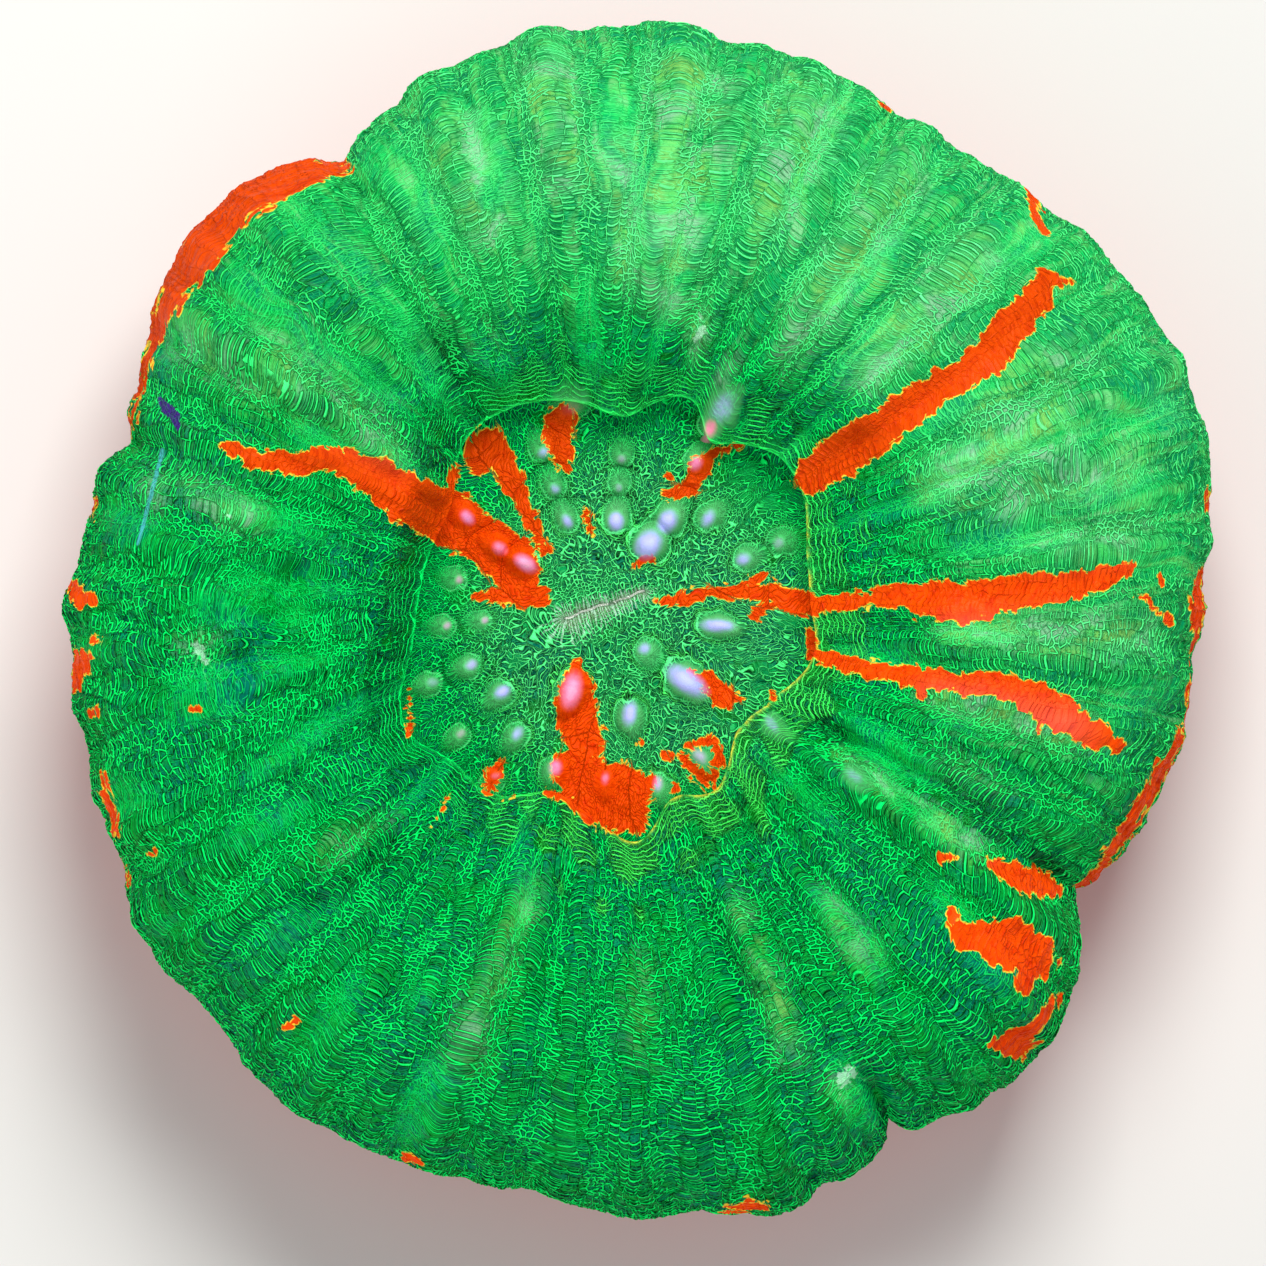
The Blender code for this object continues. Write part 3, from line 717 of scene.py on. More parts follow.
@dataclass(frozen=True)
class Wire:
    """One node's output, on which arithmetic adds more nodes."""

    sheet: "NodeSheet"
    socket: bpy.types.NodeSocket

    def __add__(self, other: "Wire | float") -> "Wire":
        """The sum."""
        return self.sheet.maths("ADD", self, other)

    def __radd__(self, other: float) -> "Wire":
        """The sum, with the number first."""
        return self.sheet.maths("ADD", other, self)

    def __sub__(self, other: "Wire | float") -> "Wire":
        """The difference."""
        return self.sheet.maths("SUBTRACT", self, other)

    def __rsub__(self, other: float) -> "Wire":
        """The difference, with the number first."""
        return self.sheet.maths("SUBTRACT", other, self)

    def __mul__(self, other: "Wire | float") -> "Wire":
        """The product."""
        return self.sheet.maths("MULTIPLY", self, other)

    def __rmul__(self, other: float) -> "Wire":
        """The product, with the number first."""
        return self.sheet.maths("MULTIPLY", other, self)

    def __truediv__(self, other: "Wire | float") -> "Wire":
        """The quotient."""
        return self.sheet.maths("DIVIDE", self, other)

    def __abs__(self) -> "Wire":
        """The size without the sign."""
        return self.sheet.maths("ABSOLUTE", self)

    def fade(self, low: float, high: float) -> "Wire":
        """Eases from 0 at low to 1 at high, or down where low is the greater.

        Args:
            low: The value that gives 0.
            high: The value that gives 1.

        Returns:
            The eased value.
        """
        ends = (low, high, 0.0, 1.0) if low < high else (high, low, 1.0, 0.0)
        names = ("From Min", "From Max", "To Min", "To Max")
        values = {"Value": self, **dict(zip(names, ends, strict=True))}
        settings = {"interpolation_type": "SMOOTHSTEP"}
        return self.sheet.wire("Result", "ShaderNodeMapRange", settings, values)


class Kind(Enum):
    """How a mark's values are stored on a mesh."""

    NUMBER = "FLOAT"
    VECTOR = "FLOAT_VECTOR"


class NodeSheet:
    """Adds nodes to one tree, a material's or a Geometry Nodes group."""

    def __init__(self, tree: bpy.types.NodeTree) -> None:
        """Starts writing in a tree."""
        self.tree = tree

    def node(
        self, kind: str, settings: Mapping[str, Any] | None = None, values: Given | None = None
    ) -> bpy.types.Node:
        """Adds any node.

        Args:
            kind: The node's type.
            settings: Its own settings, set before its sockets.
            values: A number, colour or wire for each named or numbered input.

        Returns:
            The new node.
        """
        made = self.tree.nodes.new(kind)
        for key, value in (settings or {}).items():
            setattr(made, key, value)
        self.feed(made, values or {})
        return made

    def feed(self, node: bpy.types.Node, values: Given) -> None:
        """Gives a node's inputs their values or links.

        Args:
            node: The node.
            values: A wire to link, or the value to set, for each named or numbered input.
        """
        for key, value in values.items():
            if isinstance(value, Wire):
                self.tree.links.new(value.socket, node.inputs[key])
            else:
                node.inputs[key].default_value = value

    def wire(
        self, output: str | int, kind: str, settings: Any = None, values: Given | None = None
    ) -> Wire:
        """Adds any node and reads the output that is named or numbered."""
        return Wire(self, self.node(kind, settings, values).outputs[output])

    def maths(self, operation: str, *values: "Wire | float") -> Wire:
        """Works on numbers, with a Math node's operation."""
        return self.wire(0, "ShaderNodeMath", {"operation": operation}, dict(enumerate(values)))

    def vector(self, operation: str, *values: Any, output: str = "Vector") -> Wire:
        """Works on vectors, with a Vector Math node's operation and its output of that name."""
        settings = {"operation": operation}
        return self.wire(output, "ShaderNodeVectorMath", settings, dict(enumerate(values)))

    def blend(self, share: "Wire | float", first: Any, second: Any) -> Wire:
        """Mixes two colours: a share of 0 gives the first, and 1 the second."""
        values = {0: share, 6: first, 7: second}
        return self.wire(2, "ShaderNodeMix", {"data_type": "RGBA"}, values)

    def parts(self, vector: Wire) -> tuple[Wire, Wire, Wire]:
        """Takes a vector apart into its three numbers."""
        made = self.node("ShaderNodeSeparateXYZ", None, {0: vector})
        return Wire(self, made.outputs[0]), Wire(self, made.outputs[1]), Wire(self, made.outputs[2])

    def pair(self, first: "Wire | float", second: "Wire | float") -> Wire:
        """Joins two numbers in a vector."""
        return self.wire(0, "ShaderNodeCombineXYZ", None, {0: first, 1: second})

    def length(self, vector: Wire) -> Wire:
        """The length of a vector."""
        return self.vector("LENGTH", vector, output="Value")

    def dice(self, first: "Wire | float", second: "Wire | float" = 0.0) -> tuple[Wire, Wire, Wire]:
        """Throws three dice, 0 to 1, for a pair of whole numbers."""
        settings, spot = {"noise_dimensions": "2D"}, self.pair(first, second)
        return self.parts(self.wire("Color", "ShaderNodeTexWhiteNoise", settings, {"Vector": spot}))

    def noise(self, vector: Wire, scale: float, detail: float = 2.0, rough: float = 0.5) -> Wire:
        """Reads soft noise, about 0.5, with the waves for each unit and the finer layers given."""
        values = {"Vector": vector, "Scale": scale, "Detail": detail, "Roughness": rough}
        return self.wire(0, "ShaderNodeTexNoise", {"noise_dimensions": "3D"}, values)

    def bump(self, height: Wire, distance: float, strength: float) -> Wire:
        """Reads the normal of a finely uneven surface."""
        values = {"Height": height, "Distance": distance, "Strength": strength}
        return self.wire("Normal", "ShaderNodeBump", None, values)

    def place(self) -> Wire:
        """Reads the Object coordinates."""
        return self.wire("Object", "ShaderNodeTexCoord")

    def read(self, name: str, kind: Kind = Kind.NUMBER) -> Wire:
        """Reads a mark of the mesh.

        Args:
            name: The mark's name.
            kind: How it is stored.

        Returns:
            The mark's value.
        """
        if self.tree.type == "GEOMETRY":
            kind_of_node, settings = "GeometryNodeInputNamedAttribute", {"data_type": kind.value}
            return self.wire("Attribute", kind_of_node, settings, {"Name": name})
        output = "Vector" if kind is Kind.VECTOR else "Fac"
        return self.wire(output, "ShaderNodeAttribute", {"attribute_name": name})


def new_material(name: str) -> tuple[bpy.types.Material, NodeSheet, bpy.types.Node]:
    """Starts a material.

    Args:
        name: The material's name.

    Returns:
        The material, the sheet that adds to its nodes, and its shader.
    """
    material = bpy.data.materials.new(name)
    material.use_nodes = True
    tree = material.node_tree
    return material, NodeSheet(tree), tree.nodes["Principled BSDF"]


@dataclass(frozen=True)
class NetPlace:
    """Where a place lies in the net of wrinkles, as read from a piece's marks.

    Args:
        sheet: Where its nodes are.
        weave: Columns counted round, rungs counted out, and how far a scale's line bends.
        cell: The width of a column, the pitch of the rungs and the gap between the rungs'
            lines there, in millimetres.
        share: How much scales, and how much long lines, take the place of plain cells, and
            how calm the flesh is.
    """

    sheet: NodeSheet
    weave: Wire
    cell: Wire
    share: Wire

    @classmethod
    def read(cls, sheet: NodeSheet) -> "NetPlace":
        """Reads the place from the marks of those names."""
        return cls(sheet, *(sheet.read(name, Kind.VECTOR) for name in ("weave", "cell", "share")))


@dataclass(frozen=True)
class WrinkleNet:
    """The net of fine wrinkles: plain cells, columns of scales, and long flowing lines."""

    jitter: float = 0.85
    wander: float = 2.4
    hide: float = 0.14
    gone: float = 0.1

    def lines(self, at: NetPlace) -> tuple[Wire, Wire]:
        """Finds the nearest wrinkle line.

        Args:
            at: The place in the net.

        Returns:
            The distance to the line in millimetres, and a random number for the cell.
        """
        sheet = at.sheet
        scaly, flow, _ = sheet.parts(at.share)
        cell_gap, cell_chance = self.cells(at)
        scale_gap, scale_chance = self.scales(at)
        rival = sheet.maths("MAXIMUM", scaly, flow * 0.3)
        scale_gap = scale_gap + (1.0 - scaly) * self.hide
        gap = sheet.maths("MINIMUM", cell_gap + rival * self.hide, scale_gap)
        gap = sheet.maths("MINIMUM", gap, self.long_lines(at) + (1.0 - flow) * self.hide)
        scaled = scaly.fade(0.45, 0.55)
        return gap, cell_chance * (1.0 - scaled) + scale_chance * scaled

    def cells(self, at: NetPlace) -> tuple[Wire, Wire]:
        """Finds the nearest border between plain cells.

        Args:
            at: The place in the net.

        Returns:
            The distance to the border, and a random number for the cell.
        """
        sheet, found = at.sheet, []
        for feature in ("F1", "F2"):
            settings = {"voronoi_dimensions": "2D", "feature": feature}
            values = {"Vector": at.weave, "Scale": 1.0, "Randomness": self.jitter}
            found.append(sheet.node("ShaderNodeTexVoronoi", settings, values))
        first, second = (Wire(sheet, node.outputs["Position"]) for node in found)
        column, rung, _ = sheet.parts(at.weave)
        here = sheet.pair(column, rung)
        across = sheet.vector("SUBTRACT", second, first)
        both = sheet.vector("ADD", first, second)
        twice = sheet.vector("SUBTRACT", both, sheet.vector("ADD", here, here))
        gap = abs(sheet.vector("DOT_PRODUCT", twice, across, output="Value")) * 0.5
        stretch = sheet.length(sheet.vector("DIVIDE", across, at.cell))
        middle = sheet.vector("MULTIPLY", both, (16.0, 16.0, 0.0))
        border = sheet.parts(sheet.vector("FLOOR", middle))
        open_side = sheet.dice(border[0], border[1])[0].fade(0.24, 0.08) * self.gone
        return gap / stretch + open_side, sheet.parts(Wire(sheet, found[0].outputs["Color"]))[0]

    def scales(self, at: NetPlace) -> tuple[Wire, Wire]:
        """Finds the nearest edge of the scales that are stacked in columns.

        Args:
            at: The place in the net.

        Returns:
            The distance to the edge, and a random number for the scale.
        """
        sheet = at.sheet
        column, rung, bend = sheet.parts(at.weave)
        width, _, pitch = sheet.parts(at.cell)
        number = sheet.maths("FLOOR", column)
        side = column - number - 0.5
        pace, start, _ = sheet.dice(number)
        drift = sheet.noise(sheet.pair(number * 5.3, rung * 0.2), 1.0, 1.0)
        step = rung * (pace * 0.4 + 0.8) + start * 31.0 + drift * 3.0 + bend * side * side * 4.0
        level = sheet.maths("FLOOR", step)
        chance, open_side, _ = sheet.dice(number, level)
        faint, _, _ = sheet.dice(number + 0.5, sheet.maths("FLOOR", step + 0.5))
        edge = (0.5 - abs(step - level - 0.5)) * pitch + faint.fade(0.5, 0.0) * 0.12
        border = (0.5 - abs(side)) * width + open_side.fade(0.2, 0.9) * 0.1 + 0.015
        return sheet.maths("MINIMUM", edge, border), chance

    def long_lines(self, at: NetPlace) -> Wire:
        """Finds the nearest of the long lines that follow the rungs.

        Args:
            at: The place in the net.

        Returns:
            The distance to the line.
        """
        sheet = at.sheet
        column, rung, _ = sheet.parts(at.weave)
        drift = sheet.noise(sheet.pair(column * 0.35, rung * 0.25), 1.0, 2.0)
        share = sheet.maths("FRACT", rung + drift * self.wander)
        return abs(share - 0.5) * sheet.parts(at.cell)[2]


def mark(mesh: bpy.types.Mesh, marks: Mapping[str, Values], hidden: int) -> None:
    """Stores marks on a mesh, for its shown vertices and the hidden ones that follow them.

    Args:
        mesh: The mesh to mark.
        marks: For each name, one number or one row of three for each shown vertex.
        hidden: The shown vertex whose marks the hidden ones have too.
    """
    for name, values in marks.items():
        kind = Kind.VECTOR if values.shape[-1] == 3 else Kind.NUMBER
        flat = values.reshape(-1, 3 if kind is Kind.VECTOR else 1)
        extra = np.repeat(flat[[hidden]], len(mesh.vertices) - len(flat), axis=0)
        held = mesh.attributes.new(name, kind.value, "POINT")
        key = "vector" if kind is Kind.VECTOR else "value"
        held.data.foreach_set(key, np.vstack([flat, extra]).astype(np.float32).ravel())


@dataclass(frozen=True)
class FleshFinish:
    """Moist wrinkled flesh: bright green lines over teal cells, orange patches, pale teeth, painted
    light on the north side, painted shade beside the lines and in hollows, and a painted glow.
    """

    net: WrinkleNet = field(default_factory=WrinkleNet)
    line: Colour = colour(2, 252, 106)
    glint: Colour = colour(102, 254, 148)
    lime: Colour = colour(84, 255, 92)
    green: Colour = colour(0, 142, 44)
    lit_and_inner_green: Colour = colour(8, 176, 80)
    teal: Colour = colour(0, 106, 84)
    dark_tone_and_shade: Colour = colour(0, 30, 4)
    pale: Colour = colour(108, 200, 98)
    brown: Colour = colour(116, 160, 70)
    grey: Colour = colour(128, 174, 140)
    orange: Colour = colour(234, 74, 2)
    rust: Colour = colour(184, 28, 0)
    brick: Colour = colour(158, 58, 2)
    blush: Colour = colour(246, 96, 84)
    yellow: Colour = colour(248, 206, 52)
    body: Colour = colour(6, 134, 60)
    haze: Colour = colour(124, 196, 132)
    tip: Colour = colour(166, 164, 232)
    pink: Colour = colour(248, 130, 168)
    fibre: Colour = colour(206, 255, 222)
    gape: Colour = colour(132, 142, 116)
    slit: Colour = colour(236, 240, 226)
    olive_shade: Colour = colour(0, 96, 4)
    hair: Colour = colour(76, 176, 186)
    speck: Colour = colour(64, 20, 120)
    fine_scale: float = 2.3
    star_rays: float = 11.0
    glow: float = 0.27
    patch_glow: float = 0.45
    shine: float = 0.04
    bump_depth: float = 0.00022

    def build(self) -> bpy.types.Material:
        """Makes the material.

        Returns:
            The flesh's material.
        """
        material, sheet, shader = new_material("wrinkled_flesh")
        place, at = sheet.place(), NetPlace.read(sheet)
        distance, chance = self.net.lines(at)
        wide, small = self.fine_scale, 1 / self.fine_scale
        fine_weave = sheet.vector("MULTIPLY", at.weave, (wide, wide, 1.0))
        fine_cell = sheet.vector("MULTIPLY", at.cell, (small, small, 1.0))
        fine, _ = self.net.cells(NetPlace(sheet, fine_weave, fine_cell, at.share))
        flesh = self.green_flesh(at, place, distance, fine, chance)
        skin, inside = self.orange_patches(at, place, flesh, distance, chance)
        skin = self.mouth_fibres(sheet, skin)
        skin = self.tooth_tips(sheet, place, skin)
        skin = self.litter(sheet, place, skin)
        calm, tip = sheet.parts(at.share)[2], sheet.read("tip").fade(0.25, 0.05)
        smooth = (1.0 - sheet.read("halo") * 0.95) * (1.0 - inside * 0.6) * (1.0 - calm * 0.6) * tip
        grain = sheet.noise(place, 6500.0, 2.0)
        rise = (distance.fade(0.12, 0.0) + fine.fade(0.08, 0.0) * 0.25) * smooth + grain * 0.12
        dress = {
            "Base Color": skin,
            # Painted glow: the flesh gives off light in its own colour, redder over the patches,
            # which lifts its shading.
            "Emission Color": sheet.blend(inside * self.patch_glow, skin, self.rust),
            "Emission Strength": self.glow,
            "Specular IOR Level": self.shine,
            "Roughness": sheet.noise(place, 900.0) * 0.3 + 0.25,
            "Normal": sheet.bump(rise, self.bump_depth, 1.0),
        }
        sheet.feed(shader, dress)
        return material

    def green_flesh(
        self, at: NetPlace, place: Wire, distance: Wire, fine: Wire, chance: Wire
    ) -> Wire:
        """Colours the plain flesh, with its painted light and painted shade.

        Args:
            at: The place in the net.
            place: Object coordinates.
            distance: Distance to the nearest wrinkle line.
            fine: Distance to the nearest line of the finer net.
            chance: A random number for each cell.

        Returns:
            The colour.
        """
        sheet = at.sheet
        _, flow, calm = sheet.parts(at.share)
        column, rung, _ = sheet.parts(at.weave)
        hollow_shade, halo = sheet.read("hollow_shade"), sheet.read("halo")
        # Soft shares that change over the whole coral. The north side's share is painted light: the
        # flesh there is coloured lighter, as if lit from above it.
        streak = sheet.noise(sheet.pair(column, rung * 0.06), 1.1, 2.0)
        cloud = sheet.noise(place, 330.0, 3.0)
        zone = sheet.noise(place, 140.0, 4.0, 0.6)
        pale = sheet.read("pale") * cloud.fade(0.25, 0.55)
        east, north, _ = sheet.parts(place)
        reach = sheet.length(sheet.pair(east, north))
        lit_north_side = (east * 0.45 + north * 0.9).fade(-0.014, 0.034)
        near_lip = reach.fade(0.016, 0.009)
        lit_outer_north = lit_north_side * reach.fade(0.018, 0.028)
        # The cells between the lines: lighter green near the lip, and painted light on the north
        # side.
        north_light_and_inner = sheet.maths("MAXIMUM", lit_north_side, near_lip * 0.8)
        lit_and_inner_green = sheet.blend(north_light_and_inner, self.green, self.lit_and_inner_green)
        # The teal share is partly painted shade, deeper in the hollows.
        teal = (zone * 1.3 + chance * 0.2 + hollow_shade * 0.25 - 0.12).fade(0.5, 0.85)
        cell = sheet.blend(teal * (1.0 - lit_outer_north * 0.35), lit_and_inner_green, self.teal)
        cell = sheet.blend(chance.fade(0.55, 1.0) * 0.5 * (1.0 - calm), cell, self.dark_tone_and_shade)
        cell = sheet.blend(pale * (0.7 + 0.25 * chance), cell, self.pale)
        cell = sheet.blend(streak.fade(0.52, 0.34) * 0.45, cell, self.teal)
        # Painted light: pale washed streaks only on the lit north side.
        lit_streaks = streak.fade(0.5, 0.68) * lit_outer_north
        cell = sheet.blend(lit_streaks * 0.55, cell, self.pale)
        patchy = sheet.noise(sheet.pair(column * 0.35, rung * 0.13), 1.0, 2.0)
        spotted = sheet.maths("MINIMUM", pale * 1.5 + lit_streaks * 0.4, 0.85)
        cell = sheet.blend(patchy.fade(0.48, 0.62) * spotted, cell, self.grey)
        cell = sheet.blend(patchy.fade(0.46, 0.36) * spotted * 0.8, cell, self.brown)
        # Painted shade: darker flesh beside the raised lines and in the hollows, lighter on the lit
        # north side.
        depth = sheet.blend(sheet.maths("MAXIMUM", pale * 0.6, lit_outer_north * 0.4), self.dark_tone_and_shade, lit_and_inner_green)
        line_shade = distance.fade(0.19, 0.1) * (1.0 - calm * 0.5)
        line_shade = line_shade * (1.0 - pale * 0.6) * (1.0 - lit_streaks * 0.35)
        base = sheet.blend(line_shade * 0.95, cell, depth)
        base = sheet.blend(sheet.noise(place, 4200.0).fade(0.5, 0.68) * 0.3, base, depth)
        base = sheet.blend(hollow_shade.fade(0.3, 1.0) * 0.8, base, self.dark_tone_and_shade)
        # Painted shade: olive spots in the hollows.
        olive_shade_spots = sheet.noise(place, 390.0, 1.0).fade(0.64, 0.7) * hollow_shade.fade(0.1, 0.4)
        base = sheet.blend(olive_shade_spots * 0.8, base, self.olive_shade)
        base = sheet.blend(halo * (cloud * 0.4 + 0.65), base, self.body)
        # The lines themselves.
        broken = sheet.noise(place, 1100.0, 2.0).fade(0.3, 0.55)
        inner = near_lip * 0.45
        # Painted shade: the lines are fainter deep in the hollows.
        quiet = (1.0 - halo * 0.9) * (1.0 - hollow_shade.fade(0.6, 1.4) * 0.4)
        strength = distance.fade(0.08, 0.035) * (broken * 0.4 + 0.6) * quiet * (1.0 - calm * 0.45)
        strength = sheet.maths("MINIMUM", strength * (1.0 + flow * 0.5 + inner * 0.4), 1.0)
        thin = fine.fade(0.05, 0.015) * (calm * 0.15 + 0.3 - broken * 0.14) * quiet
        lip = sheet.read("lip") * (broken * 0.7 + 0.3)
        strength = sheet.maths("MAXIMUM", sheet.maths("MAXIMUM", strength, thin), lip)
        # Painted light: the lines are paler on the lit north side.
        bright = (zone * 0.3 - 0.12 + lit_outer_north * 0.4 + pale * 0.7 + inner).fade(0.0, 0.75)
        tone = sheet.blend(bright, self.line, self.glint)
        limed = flow * (1.0 - lit_north_side) * east.fade(-0.015, -0.005)
        tone = sheet.blend(limed * 0.7, tone, self.lime)
        golden = lip * broken * (east * 0.8 - north * 0.6).fade(0.002, 0.007)
        tone = sheet.blend(golden, tone, self.yellow)
        flesh = self.stars(sheet, place, sheet.blend(strength, base, tone))
        # The pale foot of each tooth's swelling, and the haze over its tip.
        foot = abs(sheet.read("ring") + (cloud - 0.5) * 0.2).fade(0.1, 0.03)
        foot = foot * sheet.read("strong")
        flesh = sheet.blend(foot * (broken * 0.7 + 0.2), flesh, self.glint)
        return sheet.blend(sheet.read("haze") * (cloud * 0.6 + 0.35), flesh, self.haze)

    def stars(self, sheet: NodeSheet, place: Wire, flesh: Wire) -> Wire:
        """Draws the pale scars, and the short creases that run out from them.

        Args:
            sheet: Where the nodes go.
            place: Object coordinates.
            flesh: The colour so far.

        Returns:
            The colour.
        """
        x, y, near = sheet.parts(sheet.read("star", Kind.VECTOR))
        away = sheet.length(sheet.pair(x, y))
        rough = sheet.noise(place, 1300.0, 3.0)
        turn = sheet.maths("ARCTAN2", y, x) * (self.star_rays / math.tau) + rough * 1.2
        ray = abs(sheet.maths("FRACT", turn) - 0.5) * away
        creases = ray.fade(0.2, 0.05) * away.fade(3.6, 1.2) * near * rough.fade(0.4, 0.55)
        flesh = sheet.blend(creases * 0.35, flesh, self.glint)
        tuft = (away + (rough - 0.5) * 4.4).fade(0.9, 0.5) * near
        return sheet.blend(tuft * 0.42, flesh, self.fibre)

    def orange_patches(
        self, at: NetPlace, place: Wire, flesh: Wire, distance: Wire, chance: Wire
    ) -> tuple[Wire, Wire]:
        """Lays the orange patches with their thin yellow edges over the flesh.

        Args:
            at: The place in the net.
            place: Object coordinates.
            flesh: The plain flesh's colour.
            distance: Distance to the nearest wrinkle line.
            chance: A random number for each cell.

        Returns:
            The colour, and where it is orange.
        """
        sheet = at.sheet
        ragged = (sheet.noise(at.weave, 0.33, 2.0) - 0.5) * 1.7 + (chance - 0.5) * 0.3
        edge = sheet.read("patch") + (ragged + (sheet.noise(place, 2400.0, 1.0) - 0.5) * 0.12)
        streaks = sheet.noise(at.weave, 0.7, 3.0).fade(0.4, 0.75)
        patch = sheet.blend(streaks * 0.7, self.orange, self.rust)
        patch = sheet.blend(sheet.parts(place)[1].fade(-0.004, 0.016) * 0.42, patch, self.brick)
        patch = sheet.blend(sheet.read("pale") * 0.7, patch, self.blush)
        patch = sheet.blend(distance.fade(0.08, 0.02) * 0.22, patch, self.rust)
        inside = edge.fade(0.03, -0.03)
        skin = sheet.blend(inside, flesh, patch)
        broken = sheet.noise(place, 900.0, 1.0).fade(0.3, 0.55)
        border = abs(edge).fade(0.07, 0.015) * (broken * 0.4 + 0.5)
        return sheet.blend(border, skin, self.yellow), inside

    def mouth_fibres(self, sheet: NodeSheet, skin: Wire) -> Wire:
        """Draws the pale fibres around the mouth.

        Args:
            sheet: Where the nodes go.
            skin: The colour so far.

        Returns:
            The colour.
        """
        turn, out, near = sheet.parts(sheet.read("fibre", Kind.VECTOR))
        spot = sheet.pair(turn, out * 0.25)
        count = turn * 4.0 + sheet.noise(spot, 1.3, 3.0) * 5.0
        hair = abs(sheet.maths("FRACT", count) - 0.5).fade(0.26, 0.05)
        length = near - (sheet.noise(sheet.pair(turn, 0.0), 2.6, 3.0) - 0.35) * 1.1
        cloud = sheet.noise(spot, 0.8, 2.0)
        skin = sheet.blend((near + (cloud - 0.5) * 0.7).fade(0.5, 1.0) * 0.7, skin, self.gape)
        hair = length.fade(0.0, 0.5) * near.fade(0.0, 0.45) * hair
        skin = sheet.blend(hair * 0.62, skin, self.fibre)
        # Painted shade: a dark line along each side of the slit, in its groove.
        rim = abs(out - 0.13).fade(0.08, 0.03) * near.fade(0.5, 0.8)
        skin = sheet.blend(rim * 0.4, skin, self.dark_tone_and_shade)
        return sheet.blend(out.fade(0.11, 0.03) * near.fade(0.45, 0.75) * 0.9, skin, self.slit)

    def tooth_tips(self, sheet: NodeSheet, place: Wire, skin: Wire) -> Wire:
        """Lets the pale tooth tips show through.

        Args:
            sheet: Where the nodes go.
            place: Object coordinates.
            skin: The colour so far.

        Returns:
            The colour.
        """
        tip = sheet.read("tip")
        shown = tip + (sheet.noise(place, 2000.0, 3.0) - 0.5) * 0.7 * tip
        tone = sheet.blend(sheet.read("blush"), self.tip, self.pink)
        tone = sheet.blend(shown.fade(0.6, 1.2) * 0.15, tone, self.fibre)
        return sheet.blend(shown.fade(0.14, 0.9), skin, tone)

    def litter(self, sheet: NodeSheet, place: Wire, skin: Wire) -> Wire:
        """Lays the thin blue hair and the purple speck on the flesh.

        Args:
            sheet: Where the nodes go.
            place: Object coordinates.
            skin: The colour so far.

        Returns:
            The colour.
        """
        skin = sheet.blend(sheet.read("hair").fade(-0.06, 0.06) * 0.68, skin, self.hair)
        rough = (sheet.noise(place, 1500.0, 2.0) - 0.5) * 0.25
        speck = (sheet.read("speck") + rough).fade(-0.05, 0.1)
        return sheet.blend(speck * 0.92, skin, self.speck)


@dataclass(frozen=True)
class StoneFinish:
    """Bare chalky skeleton with a thin pinkish crust."""

    bone: Colour = colour(206, 196, 176)
    shade: Colour = colour(140, 124, 104)
    crust: Colour = colour(176, 104, 118)
    bump_depth: float = 0.00025

    def build(self) -> bpy.types.Material:
        """Makes the material.

        Returns:
            The foot's material.
        """
        material, sheet, shader = new_material("bare_skeleton")
        place = sheet.place()
        grain = sheet.noise(place, 2400.0, 5.0, 0.65)
        blotch = sheet.noise(place, 160.0, 4.0, 0.6)
        tone = sheet.blend(grain.fade(0.35, 0.7), self.shade, self.bone)
        dress = {
            "Base Color": sheet.blend(blotch.fade(0.54, 0.66) * 0.8, tone, self.crust),
            "Roughness": grain * 0.3 + 0.6,
            "Normal": sheet.bump(grain, self.bump_depth, 0.8),
        }
        sheet.feed(shader, dress)
        return material


